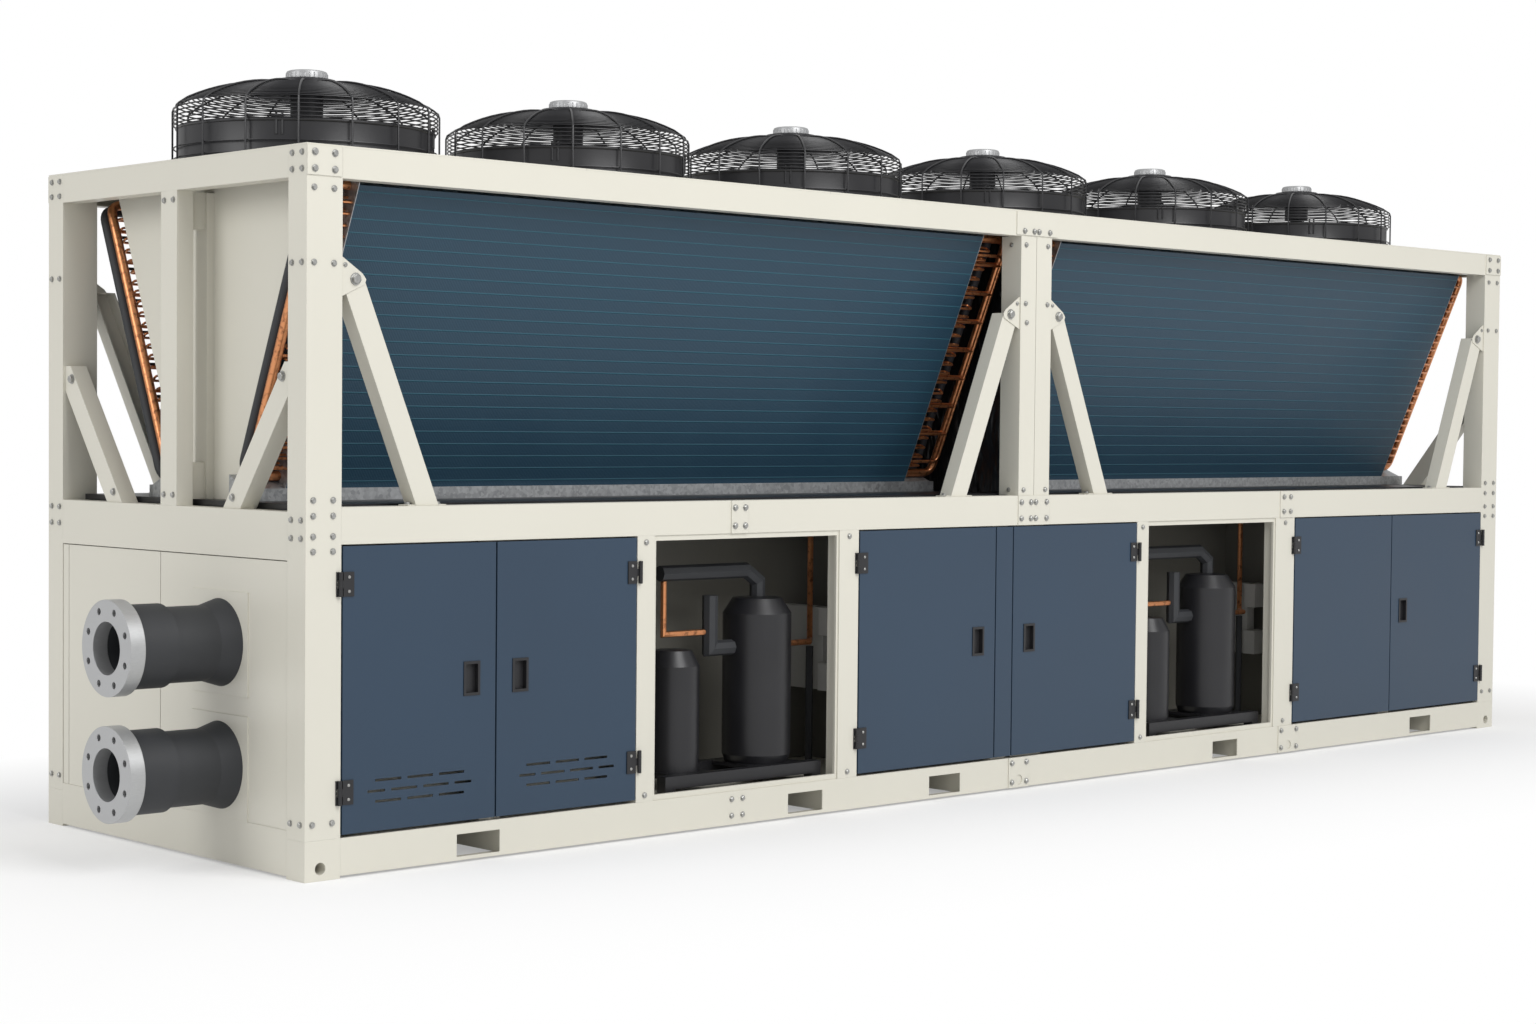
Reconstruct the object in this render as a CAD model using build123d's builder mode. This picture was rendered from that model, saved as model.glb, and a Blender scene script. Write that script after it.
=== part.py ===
from build123d import *
import os
from math import atan2, cos, degrees, hypot, radians, sin

# Overall frame, in millimetres: X along the unit, front at minus Y, Z up from the ground
LENGTH = 6700
WIDTH = 1600
HEIGHT = 2250
SHEET = 5
RAIL_DEPTH = 60
POST_LONG = 130
POST_WIDE = 100
MIDDLE_POST_WIDTH = 180
MIDDLE_POST_GAP = 2
DECK_SHEET = 6
TOP_RAIL_HEIGHT = 94

# Heights of the base and of the middle rails
RAIL_CLEARANCE = 8
BASE_TOP = 125
END_BASE_TOP = 150
MID_RAIL_LOW = 1030
MID_RAIL_TOP = 1145
END_MID_LOW = 980
END_MID_TOP = 1130

# Front and back division, chained in from the corner posts and out from the centre strip
DOOR_1_WIDTH = 596
DOOR_2_WIDTH = 597
JAMB_1_WIDTH = 77
JAMB_2_WIDTH = 99
DOOR_3_WIDTH = 749
STRIP_WIDTH = 99
STRIP_CENTRE = -167.5
DOOR_4_WIDTH = 761
JAMB_3_WIDTH = 71
JAMB_4_WIDTH = 136
DOOR_5_WIDTH = 747
DOOR_6_WIDTH = 747

# Door trays, their running gaps, flush pulls and louvres
DOOR_DEPTH = 25
DOOR_SHEET = 3
DOOR_PROUD = 2
DOOR_GAP = 5
DOOR_HALF_GAP = 3
DOOR_SILL_GAP = 10
STOP_GAP = 5
FIXED_PANEL_FIT = 0.3
PULL_WIDTH = 65
PULL_HEIGHT = 110
PULL_INSET = 95
PULL_CENTRE_HEIGHT = 590
PULL_RIM = 5
PULL_WALL = 4
PULL_RIM_THICKNESS = 3
PULL_DEPTH = 20
PULL_FIT = 0.5
LOUVRE_HEIGHT = 8
LOUVRE_PITCH = 33
LOUVRE_CENTRE_HEIGHT = 260
LOUVRE_GAP = 24
LONG_LOUVRE = 98
SHORT_LOUVRE = 66

# Hinges
HINGE_HEIGHT = 76
HINGE_UPPER = 908
HINGE_LOWER = 265
HINGE_OVER_POST = 19
HINGE_OVER_DOOR = 44
HINGE_LEAF = 4
HINGE_PIN_INSET = 8
HINGE_PIN_FORWARD = 9
KNUCKLE_RADIUS = 7
KNUCKLE_SIDES = 8
KNUCKLE_GAP = 0.5

# Base: fork pockets, cross members, corner blocks with lifting eyes
POCKET_CENTRES = (-2690, -1226, -491, 1252, 2733)
POCKET_WIDTH = 172
POCKET_LOW = 20
POCKET_TOP = 92
CROSS_WIDTH = 50
POCKET_SIDE_GAP = 15
FOOT_BEAM_WIDTH = 100
EYE_RADIUS = 19
EYE_HEIGHT = 38
EYE_FROM_END = 57

# Cross beams under the coil tray
BEAM_WIDTH = 60
BEAM_HEIGHT = 60
BEAM_COUNT = 7
BEAM_PITCH = 1060
TRAY_THICKNESS = 20
TRAY_CLEARANCE = 10

# V coils, seen from the end, and their end fittings
COIL_TOP_Y = 700
COIL_TOP_Z = 2145
COIL_FOOT_Y = 290
COIL_FOOT_Z = 1190
COIL_THICKNESS = 110
COIL_SPANS = ((-3090, -200), (260, 3150))
END_PLATE = 3
END_PLATE_LIP = 8
FOOT_RAIL_LIP = 20
FOOT_RAIL_OVERHANG = 150
HEADER_RADIUS = 19
COPPER_HEADER_RADIUS = 16
HEADER_SIDES = 10
HEADER_OUT = 110
HEADER_END_GAP = 40
STUB_RADIUS = 8
STUB_COUNT = 4
BEND_COUNT = 6
BEND_WIDTH = 62
BEND_REACH = 45
BEND_TUBE = 13
V_PANEL = 4
V_PANEL_OUT = 110
V_PANEL_EDGE_GAP = 5
STIFFENER_WIDTH = 70
STIFFENER_DEPTH = 30
CENTRE_POST_WIDTH = 100
BRACKET_HEIGHT = 120
BRACKET_WIDTH = 44

# Diagonal braces
BRACE_DEPTH = 60
BRACE_SET_BACK = 10
FRONT_BRACE_FOOT = 287
FRONT_BRACE_WIDTH = 86
FRONT_BRACE_TOP = 1850
END_BRACE_FOOT = 285
END_BRACE_WIDTH = 100
END_BRACE_RISE = 374
END_BRACE_TOP = 1590
GUSSET_HEIGHT = 110
GUSSET_WIDTH = 70

# Plates over the joints of the frame
PLATE = 4
BASE_PLATES = ((-71, 118), (1700, 147))
MID_PLATES = ((-1560, 81), (0, 184), (1665, 95))
TOP_PLATE_HEIGHT = 90
TOP_CORNER_PLATE = 126
TOP_MIDDLE_PLATE = 240

# Fans
FAN_COUNT = 6
FAN_PITCH = 1130
SHROUD_RADIUS = 428
SHROUD_WALL = 8
SHROUD_HEIGHT = 135
SHROUD_FLANGE = 27
SHROUD_SIDES = 36
GUARD_RADIUS = 440
GUARD_WIRE = 8
GUARD_SIDES = 20
GUARD_RIBS = 10
GUARD_SHOULDER = 205
GUARD_CROWN = 292
CROWN_RADIUS = 100
DOME_RING_RADIUS = 270
COLLAR_THICKNESS = 14
MOTOR_NECK_RADIUS = 55
MOTOR_NECK_GAP = 5
MOTOR_CAP_RADIUS = 70
MOTOR_CAP_HEIGHT = 30
MOTOR_SIDES = 16
SHAFT_RADIUS = 20
SHAFT_GAP = 0.3
ROTOR_LIFT = 80
HUB_RADIUS = 110
HUB_HEIGHT = 120
HUB_SIDES = 20
BLADE_COUNT = 5
BLADE_TIP_GAP = 10
BLADE_THICKNESS = 6
ROOT_CHORD = 170
TIP_CHORD = 260
ROOT_PITCH = 36
TIP_PITCH = 20

# Water connections on the left end
PIPE_Y = -315
PIPE_HEIGHTS = (315, 705)
PIPE_REACH = 400
PIPE_BORE_RADIUS = 82.5
FLANGE_RADIUS = 150
FLANGE_THICKNESS = 50
FLANGE_PCD = 240
FLANGE_HOLE_RADIUS = 11
FLANGE_HOLES = 8
INSULATION_RADIUS = 120
COLLAR_RADIUS = 132
COLLAR_LENGTH = 130
FLARE_RADIUS = 140
FLARE_LENGTH = 65
WALL_PLATE = 330

# End panels
END_PANEL_DEPTH = 25
END_PANEL_SET_BACK = 2
END_PANEL_GAP = 3
END_SEAMS = (52, 660)

# Compressor bays
BAY_LIP = 10
BAY_SILL = 144
BAY_HEAD = 1012
BAY_FRAME_SET_BACK = 5
BAY_FRAME_DEPTH = 12
LINER = 3
BAY_BACK_Y = -250
BAY_BEHIND_JAMB = 380
INNER_PANEL_LAP = 20
VESSEL_FROM_SIDE = 220
VESSEL_Y = -600
VESSEL_RADIUS = 125
VESSEL_FOOT = 190
VESSEL_TOP = 790
VESSEL_DOME = 60
VESSEL_BAND = 6
NOZZLE_LIP = 4
PORT_GAP = 0.3
COMPRESSOR_OFFSET = -405
COMPRESSOR_RADIUS = 95
COMPRESSOR_TOP = 620
SKID_BAR = 44
SKID_FRONT_Y = -722
SKID_BACK_Y = -478
SKID_LEFT = -560
SKID_RIGHT = 190
SKID_PLATE = 12
BLACK_PIPE_RADIUS = 28
COPPER_PIPE_RADIUS = 11
PIPE_SIDES = 8
SUCTION_HEIGHT = 885
PORT_HEIGHT = 610
RISER_OFFSET = 345
RISER_Y = -520
VALVE_BOX = 104
VALVE_BOX_OFFSET = 470
VALVE_BOX_HEIGHTS = (464, 672)
VALVE_BOX_DEPTH = 60

# Worked out from the sizes above
END_X = LENGTH / 2
FRONT_Y = WIDTH / 2
DECK_LOW = HEIGHT - DECK_SHEET
TOP_RAIL_LOW = DECK_LOW - TOP_RAIL_HEIGHT
POST_INNER_X = END_X - POST_LONG
POST_INNER_Y = FRONT_Y - POST_WIDE
WEB_INNER_Y = FRONT_Y - SHEET
RAIL_INNER_Y = FRONT_Y - RAIL_DEPTH
RAIL_INNER_X = END_X - RAIL_DEPTH
TRAY_TOP = END_MID_TOP + TRAY_THICKNESS
DOOR_FACE_Y = FRONT_Y + DOOR_PROUD
DOOR_LOW = BASE_TOP + DOOR_SILL_GAP
DOOR_HIGH = MID_RAIL_LOW - DOOR_GAP
STOP_Y = DOOR_FACE_Y - DOOR_DEPTH - STOP_GAP

STRIP_LEFT = STRIP_CENTRE - STRIP_WIDTH / 2
STRIP_RIGHT = STRIP_CENTRE + STRIP_WIDTH / 2
MEETING_LEFT = -POST_INNER_X + DOOR_1_WIDTH
JAMB_1_LEFT = MEETING_LEFT + DOOR_2_WIDTH
BAY_1_LEFT = JAMB_1_LEFT + JAMB_1_WIDTH
DOOR_3_LEFT = STRIP_LEFT - DOOR_3_WIDTH
BAY_1_RIGHT = DOOR_3_LEFT - JAMB_2_WIDTH
JAMB_3_LEFT = STRIP_RIGHT + DOOR_4_WIDTH
BAY_2_LEFT = JAMB_3_LEFT + JAMB_3_WIDTH
MEETING_RIGHT = POST_INNER_X - DOOR_6_WIDTH
DOOR_5_LEFT = MEETING_RIGHT - DOOR_5_WIDTH
BAY_2_RIGHT = DOOR_5_LEFT - JAMB_4_WIDTH
BAYS = ((BAY_1_LEFT, BAY_1_RIGHT), (BAY_2_LEFT, BAY_2_RIGHT))
JAMBS = (
    (JAMB_1_LEFT, BAY_1_LEFT),
    (BAY_1_RIGHT, DOOR_3_LEFT),
    (JAMB_3_LEFT, BAY_2_LEFT),
    (BAY_2_RIGHT, DOOR_5_LEFT),
)

# Each door: its number, left and right edge, hinged side (-1 left, 1 right), has a pull, has louvres
DOORS = (
    (1, -POST_INNER_X + DOOR_GAP, MEETING_LEFT - DOOR_HALF_GAP, -1, True, True),
    (2, MEETING_LEFT + DOOR_HALF_GAP, JAMB_1_LEFT - DOOR_GAP, 1, True, True),
    (3, DOOR_3_LEFT + DOOR_GAP, STRIP_LEFT - DOOR_HALF_GAP, -1, True, False),
    (4, STRIP_RIGHT + DOOR_HALF_GAP, JAMB_3_LEFT - DOOR_GAP, 1, True, False),
    (5, DOOR_5_LEFT + DOOR_GAP, MEETING_RIGHT - DOOR_HALF_GAP, -1, False, False),
    (6, MEETING_RIGHT + DOOR_HALF_GAP, POST_INNER_X - DOOR_GAP, 1, True, False),
)
FAN_PLACES = [((i - (FAN_COUNT - 1) / 2) * FAN_PITCH, 0) for i in range(FAN_COUNT)]

# The coil's slope: unit vectors down the face and in through its thickness, as (y, z) of the front coil
COIL_LENGTH = hypot(COIL_TOP_Y - COIL_FOOT_Y, COIL_TOP_Z - COIL_FOOT_Z)
DOWN = ((COIL_TOP_Y - COIL_FOOT_Y) / COIL_LENGTH, (COIL_FOOT_Z - COIL_TOP_Z) / COIL_LENGTH)
INTO = (-DOWN[1], DOWN[0])


def coil_point(down, into):
    """A point of the front coil's end section, as (y, z), from distances down its face and into it."""
    y = -COIL_TOP_Y + DOWN[0] * down + INTO[0] * into
    z = COIL_TOP_Z + DOWN[1] * down + INTO[1] * into
    return (y, z)


def save(piece, name):
    """Names a finished piece and writes its file."""
    piece.part.label = name
    export_step(piece.part, f"parts/{name}.step")


def span(low_x, high_x, low_y, high_y):
    """A rectangle of the current sketch, from its low to its high corner."""
    with Locations(((low_x + high_x) / 2, (low_y + high_y) / 2)):
        Rectangle(high_x - low_x, high_y - low_y)


def tube_section(low_x, high_x, low_y, high_y, wall):
    """A hollow rectangle of the current sketch."""
    with Locations(((low_x + high_x) / 2, (low_y + high_y) / 2)):
        Rectangle(high_x - low_x, high_y - low_y)
        Rectangle(high_x - low_x - 2 * wall, high_y - low_y - 2 * wall, mode=Mode.SUBTRACT)


def channel_section(web, inward, low, high, wall):
    """A C section of the current sketch: its web on one side, its flanges reaching to inward."""
    step = wall if inward > web else -wall
    Polygon(
        (web, low),
        (inward, low),
        (inward, low + wall),
        (web + step, low + wall),
        (web + step, high - wall),
        (inward, high - wall),
        (inward, high),
        (web, high),
    )


# Base of the unit
def make_base_rails():
    """Folded rails: two long ones with the fork pockets cut through, two across the ends."""
    with BuildPart() as rails:
        with BuildSketch(Plane.YZ.offset(-POST_INNER_X)):
            channel_section(-FRONT_Y, -RAIL_INNER_Y, RAIL_CLEARANCE, BASE_TOP, SHEET)
            channel_section(FRONT_Y, RAIL_INNER_Y, RAIL_CLEARANCE, BASE_TOP, SHEET)
        extrude(amount=2 * POST_INNER_X)
        with BuildSketch(Plane.XZ.offset(-FRONT_Y)):
            for centre in POCKET_CENTRES:
                span(centre - POCKET_WIDTH / 2, centre + POCKET_WIDTH / 2, POCKET_LOW, POCKET_TOP)
        extrude(amount=WIDTH, mode=Mode.SUBTRACT)
        with BuildSketch(Plane.XZ.offset(-POST_INNER_Y)):
            channel_section(-END_X, -RAIL_INNER_X, RAIL_CLEARANCE, END_BASE_TOP, SHEET)
            channel_section(END_X, RAIL_INNER_X, RAIL_CLEARANCE, END_BASE_TOP, SHEET)
        extrude(amount=2 * POST_INNER_Y)
    save(rails, "base_rails")


def make_cross_members():
    """Channels between the long rails beside each fork way, the foot beam and the beams under the tray."""
    side = POCKET_WIDTH / 2 + POCKET_SIDE_GAP
    low = RAIL_CLEARANCE + SHEET
    high = BASE_TOP - SHEET
    beam_top = END_MID_TOP
    with BuildPart() as members:
        with BuildSketch(Plane.XZ.offset(-WEB_INNER_Y)):
            for centre in POCKET_CENTRES:
                channel_section(centre - side, centre - side - CROSS_WIDTH, low, high, SHEET)
                channel_section(centre + side, centre + side + CROSS_WIDTH, low, high, SHEET)
        extrude(amount=2 * WEB_INNER_Y)
        with BuildSketch(Plane.YZ.offset(-FOOT_BEAM_WIDTH / 2)):
            Polygon(
                (-WEB_INNER_Y, high),
                (-WEB_INNER_Y, low),
                (-RAIL_INNER_Y + SHEET, low),
                (-RAIL_INNER_Y + SHEET, 0),
                (RAIL_INNER_Y - SHEET, 0),
                (RAIL_INNER_Y - SHEET, low),
                (WEB_INNER_Y, low),
                (WEB_INNER_Y, high),
            )
        extrude(amount=FOOT_BEAM_WIDTH)
        with BuildSketch(Plane.XZ.offset(-WEB_INNER_Y)):
            with GridLocations(BEAM_PITCH, 0, BEAM_COUNT, 1):
                with Locations((0, beam_top - BEAM_HEIGHT / 2)):
                    Rectangle(BEAM_WIDTH, BEAM_HEIGHT)
                    Rectangle(BEAM_WIDTH - 2 * SHEET, BEAM_HEIGHT - 2 * SHEET, mode=Mode.SUBTRACT)
        extrude(amount=2 * WEB_INNER_Y)
    save(members, "cross_members")


def make_corner_blocks():
    """Cast blocks that the unit stands on, each with a lifting eye through it."""
    centre_x = END_X - POST_LONG / 2
    centre_y = FRONT_Y - POST_WIDE / 2
    with BuildPart() as blocks:
        with BuildSketch():
            with GridLocations(2 * centre_x, 2 * centre_y, 2, 2):
                Rectangle(POST_LONG, POST_WIDE)
        extrude(amount=BASE_TOP)
        with BuildSketch(Plane.XZ.offset(-FRONT_Y)):
            with Locations((-END_X + EYE_FROM_END, EYE_HEIGHT), (END_X - EYE_FROM_END, EYE_HEIGHT)):
                Circle(EYE_RADIUS)
        extrude(amount=WIDTH, mode=Mode.SUBTRACT)
    save(blocks, "corner_blocks")


def make_floor_pan():
    """The floor sheet, let in between the long rails and lying on the cross members."""
    with BuildPart() as floor:
        with BuildSketch(Plane.XY.offset(BASE_TOP - SHEET)):
            Rectangle(2 * POST_INNER_X, 2 * RAIL_INNER_Y)
        extrude(amount=SHEET)
    save(floor, "floor_pan")


# Upright and level members of the frame
def make_posts():
    """Corner posts, the doubled middle posts above and below the middle rail, and the end centre posts."""
    corner_x = END_X - POST_LONG / 2
    corner_y = FRONT_Y - POST_WIDE / 2
    half_width = (MIDDLE_POST_WIDTH - MIDDLE_POST_GAP) / 2
    half_x = (half_width + MIDDLE_POST_GAP) / 2
    with BuildPart() as posts:
        with BuildSketch(Plane.XY.offset(BASE_TOP)):
            with GridLocations(2 * corner_x, 2 * corner_y, 2, 2):
                Rectangle(POST_LONG, POST_WIDE)
                Rectangle(POST_LONG - 2 * SHEET, POST_WIDE - 2 * SHEET, mode=Mode.SUBTRACT)
        extrude(amount=DECK_LOW - BASE_TOP)
        with BuildSketch(Plane.XY.offset(MID_RAIL_TOP)):
            with GridLocations(2 * half_x, 2 * corner_y, 2, 2):
                Rectangle(half_width, POST_WIDE)
                Rectangle(half_width - 2 * SHEET, POST_WIDE - 2 * SHEET, mode=Mode.SUBTRACT)
        extrude(amount=TOP_RAIL_LOW - MID_RAIL_TOP)
        with BuildSketch(Plane.XY.offset(BASE_TOP)):
            for side in (-1, 1):
                with Locations((0, side * (STOP_Y + POST_INNER_Y) / 2)):
                    Rectangle(MIDDLE_POST_WIDTH, STOP_Y - POST_INNER_Y)
        extrude(amount=MID_RAIL_LOW - BASE_TOP)
        with BuildSketch(Plane.XY.offset(END_MID_TOP)):
            with GridLocations(2 * END_X - RAIL_DEPTH, 0, 2, 1):
                Rectangle(RAIL_DEPTH, CENTRE_POST_WIDTH)
                Rectangle(RAIL_DEPTH - 2 * SHEET, CENTRE_POST_WIDTH - 2 * SHEET, mode=Mode.SUBTRACT)
        extrude(amount=TOP_RAIL_LOW - END_MID_TOP)
    save(posts, "posts")


def make_jambs():
    """Uprights beside the bays, and the narrow stops behind the meeting edges of the doors."""
    centre_y = (FRONT_Y + RAIL_INNER_Y) / 2
    stop_y = (STOP_Y + RAIL_INNER_Y) / 2
    stop_width = STRIP_WIDTH - 4 * DOOR_HALF_GAP
    backing_y = DOOR_FACE_Y - DOOR_DEPTH
    with BuildPart() as jambs:
        with BuildSketch(Plane.XY.offset(BASE_TOP)):
            for left, right in JAMBS:
                with Locations(((left + right) / 2, -centre_y), ((left + right) / 2, centre_y)):
                    Rectangle(right - left, RAIL_DEPTH)
                    Rectangle(right - left - 2 * SHEET, RAIL_DEPTH - 2 * SHEET, mode=Mode.SUBTRACT)
            for meeting in (MEETING_LEFT, MEETING_RIGHT):
                with Locations((meeting, -stop_y), (meeting, stop_y)):
                    Rectangle(stop_width, STOP_Y - RAIL_INNER_Y)
        extrude(amount=MID_RAIL_LOW - BASE_TOP)
        with BuildSketch(Plane.XY.offset(BASE_TOP)):
            strip_y = (backing_y + RAIL_INNER_Y) / 2
            with Locations((STRIP_CENTRE, -strip_y), (STRIP_CENTRE, strip_y)):
                Rectangle(stop_width, backing_y - RAIL_INNER_Y)
        extrude(amount=MID_RAIL_LOW - BASE_TOP)
    save(jambs, "jambs")


def make_mid_rails():
    """Rails between the lower housing and the coils: front, back and both ends."""
    with BuildPart() as rails:
        with BuildSketch(Plane.YZ.offset(-POST_INNER_X)):
            channel_section(-FRONT_Y, -RAIL_INNER_Y, MID_RAIL_LOW, MID_RAIL_TOP, SHEET)
            channel_section(FRONT_Y, RAIL_INNER_Y, MID_RAIL_LOW, MID_RAIL_TOP, SHEET)
        extrude(amount=2 * POST_INNER_X)
        with BuildSketch(Plane.XZ.offset(-POST_INNER_Y)):
            channel_section(-END_X, -RAIL_INNER_X, END_MID_LOW, END_MID_TOP, SHEET)
            channel_section(END_X, RAIL_INNER_X, END_MID_LOW, END_MID_TOP, SHEET)
        extrude(amount=2 * POST_INNER_Y)
    save(rails, "mid_rails")


def make_top_rails():
    """Rails under the fan deck, between the corner posts."""
    with BuildPart() as rails:
        with BuildSketch(Plane.YZ.offset(-POST_INNER_X)):
            channel_section(-FRONT_Y, -RAIL_INNER_Y, TOP_RAIL_LOW, DECK_LOW, SHEET)
            channel_section(FRONT_Y, RAIL_INNER_Y, TOP_RAIL_LOW, DECK_LOW, SHEET)
        extrude(amount=2 * POST_INNER_X)
        with BuildSketch(Plane.XZ.offset(-POST_INNER_Y)):
            channel_section(-END_X, -RAIL_INNER_X, TOP_RAIL_LOW, DECK_LOW, SHEET)
            channel_section(END_X, RAIL_INNER_X, TOP_RAIL_LOW, DECK_LOW, SHEET)
        extrude(amount=2 * POST_INNER_Y)
    save(rails, "top_rails")


def make_joint_plates():
    """Flat plates over the joints of the rails and posts, on the front and the back."""
    top_low = DECK_LOW - TOP_PLATE_HEIGHT
    with BuildPart() as plates:
        with BuildSketch(Plane.XZ.offset(FRONT_Y)):
            for centre, width in BASE_PLATES:
                span(centre - width / 2, centre + width / 2, RAIL_CLEARANCE, BASE_TOP)
            for centre, width in BASE_PLATES:
                with Locations((centre, EYE_HEIGHT)):
                    Circle(EYE_RADIUS, mode=Mode.SUBTRACT)
            for centre, width in MID_PLATES:
                span(centre - width / 2, centre + width / 2, MID_RAIL_LOW, MID_RAIL_TOP)
            span(-TOP_MIDDLE_PLATE / 2, TOP_MIDDLE_PLATE / 2, top_low, DECK_LOW)
            for side in (-1, 1):
                with Locations((side * (END_X - TOP_CORNER_PLATE / 2), DECK_LOW - TOP_PLATE_HEIGHT / 2)):
                    Rectangle(TOP_CORNER_PLATE, TOP_PLATE_HEIGHT)
        extrude(amount=PLATE)
        mirror(about=Plane.XZ)
    save(plates, "joint_plates")


def front_brace(post_face, side):
    """Outline of one front brace in X and Z: from the post's side at the top out to the middle rail."""
    foot = post_face + side * FRONT_BRACE_FOOT
    Polygon(
        (foot, MID_RAIL_TOP),
        (foot + side * FRONT_BRACE_WIDTH, MID_RAIL_TOP),
        (post_face + side * FRONT_BRACE_WIDTH, FRONT_BRACE_TOP),
        (post_face, FRONT_BRACE_TOP),
    )


def end_brace(side):
    """Outline of one end brace in Y and Z: from the corner post in to the end rail."""
    slope = END_BRACE_RISE / END_BRACE_FOOT
    reach = END_BRACE_FOOT + END_BRACE_WIDTH
    top_reach = reach - (END_BRACE_TOP - END_MID_TOP) / slope
    Polygon(
        (side * (POST_INNER_Y - END_BRACE_FOOT), END_MID_TOP),
        (side * (POST_INNER_Y - reach), END_MID_TOP),
        (side * (POST_INNER_Y - top_reach), END_BRACE_TOP),
        (side * POST_INNER_Y, END_BRACE_TOP),
        (side * POST_INNER_Y, END_MID_TOP + END_BRACE_RISE),
    )


def make_braces():
    """Diagonal braces, folded channels that are open towards the inside of the unit."""
    half_post = MIDDLE_POST_WIDTH / 2
    places = ((-POST_INNER_X, 1), (-half_post, -1), (half_post, 1), (POST_INNER_X, -1))
    outer_y = FRONT_Y - BRACE_SET_BACK
    outer_x = END_X - BRACE_SET_BACK
    with BuildPart() as braces:
        for face, side in places:
            with BuildSketch(Plane.XZ.offset(outer_y)) as outline:
                front_brace(face, side)
            extrude(amount=-BRACE_DEPTH)
            with BuildSketch(Plane.XZ.offset(outer_y - SHEET)):
                offset(outline.sketch, amount=-SHEET, kind=Kind.INTERSECTION)
            extrude(amount=SHEET - BRACE_DEPTH, mode=Mode.SUBTRACT)
        mirror(about=Plane.XZ)
        for side in (-1, 1):
            with BuildSketch(Plane.YZ.offset(-outer_x)) as end_outline:
                end_brace(side)
            extrude(amount=BRACE_DEPTH)
            with BuildSketch(Plane.YZ.offset(-outer_x)):
                offset(end_outline.sketch, amount=-SHEET, kind=Kind.INTERSECTION)
            extrude(amount=BRACE_DEPTH - SHEET, mode=Mode.SUBTRACT)
        mirror(about=Plane.YZ)
    save(braces, "braces")


def make_fan_deck():
    """The top deck: one sheet for each fan, with the fan's hole."""
    joint = 1
    with BuildPart() as deck:
        with BuildSketch(Plane.XY.offset(DECK_LOW)):
            for index, (x, y) in enumerate(FAN_PLACES):
                left = -END_X if index == 0 else x - FAN_PITCH / 2 + joint / 2
                right = END_X if index == FAN_COUNT - 1 else x + FAN_PITCH / 2 - joint / 2
                span(left, right, -FRONT_Y, FRONT_Y)
            with Locations(*FAN_PLACES):
                RegularPolygon(SHROUD_RADIUS - SHROUD_WALL, SHROUD_SIDES, mode=Mode.SUBTRACT)
        extrude(amount=DECK_SHEET)
    save(deck, "fan_deck")


# Fans
def make_fan_shrouds():
    """Round walls that the blades run in, with a foot flange on the deck."""
    flange = 4
    with BuildPart() as shrouds:
        with BuildSketch(Plane.XY.offset(HEIGHT)):
            with Locations(*FAN_PLACES):
                RegularPolygon(SHROUD_RADIUS + SHROUD_FLANGE, SHROUD_SIDES)
                RegularPolygon(SHROUD_RADIUS - SHROUD_WALL, SHROUD_SIDES, mode=Mode.SUBTRACT)
        extrude(amount=flange)
        with BuildSketch(Plane.XY.offset(HEIGHT + flange)):
            with Locations(*FAN_PLACES):
                RegularPolygon(SHROUD_RADIUS, SHROUD_SIDES)
                RegularPolygon(SHROUD_RADIUS - SHROUD_WALL, SHROUD_SIDES, mode=Mode.SUBTRACT)
        extrude(amount=SHROUD_HEIGHT - flange)
    save(shrouds, "fan_shrouds")
    return flange


def make_fan_guards(flange):
    """Wire guards: ribs up from the deck and over the dome, tied by rings, with a collar for the motor."""
    outer = GUARD_RADIUS + GUARD_WIRE
    half = GUARD_WIRE / 2
    shoulder = HEIGHT + GUARD_SHOULDER
    crown = HEIGHT + GUARD_CROWN
    rise = (crown - shoulder) / (GUARD_RADIUS - CROWN_RADIUS)
    dome_ring = shoulder + rise * (GUARD_RADIUS - DOME_RING_RADIUS)
    rings = ((outer, shoulder - GUARD_WIRE), (outer, HEIGHT + SHROUD_HEIGHT), (DOME_RING_RADIUS, dome_ring))
    with BuildPart() as guard:
        with BuildSketch(Plane.XZ.offset(-half)):
            Polygon(
                (GUARD_RADIUS, HEIGHT + flange),
                (outer, HEIGHT + flange),
                (outer, shoulder),
                (CROWN_RADIUS - GUARD_WIRE, crown + GUARD_WIRE),
                (CROWN_RADIUS - GUARD_WIRE, crown),
                (GUARD_RADIUS, shoulder - GUARD_WIRE),
            )
        extrude(amount=GUARD_WIRE)
        with PolarLocations(0, GUARD_RIBS - 1, start_angle=360 / GUARD_RIBS, angular_range=360 - 360 / GUARD_RIBS):
            add(guard.part)
        for radius, height in rings:
            with BuildSketch(Plane.XY.offset(height)):
                RegularPolygon(radius, GUARD_SIDES)
                RegularPolygon(radius - GUARD_WIRE, GUARD_SIDES, mode=Mode.SUBTRACT)
            extrude(amount=GUARD_WIRE)
        with BuildSketch(Plane.XY.offset(crown)):
            RegularPolygon(CROWN_RADIUS, GUARD_SIDES)
            RegularPolygon(MOTOR_NECK_RADIUS + MOTOR_NECK_GAP, GUARD_SIDES, mode=Mode.SUBTRACT)
        extrude(amount=COLLAR_THICKNESS)
    with BuildPart() as guards:
        with Locations(*[(x, y, 0) for x, y in FAN_PLACES]):
            add(guard.part)
    save(guards, "fan_guards")


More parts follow.
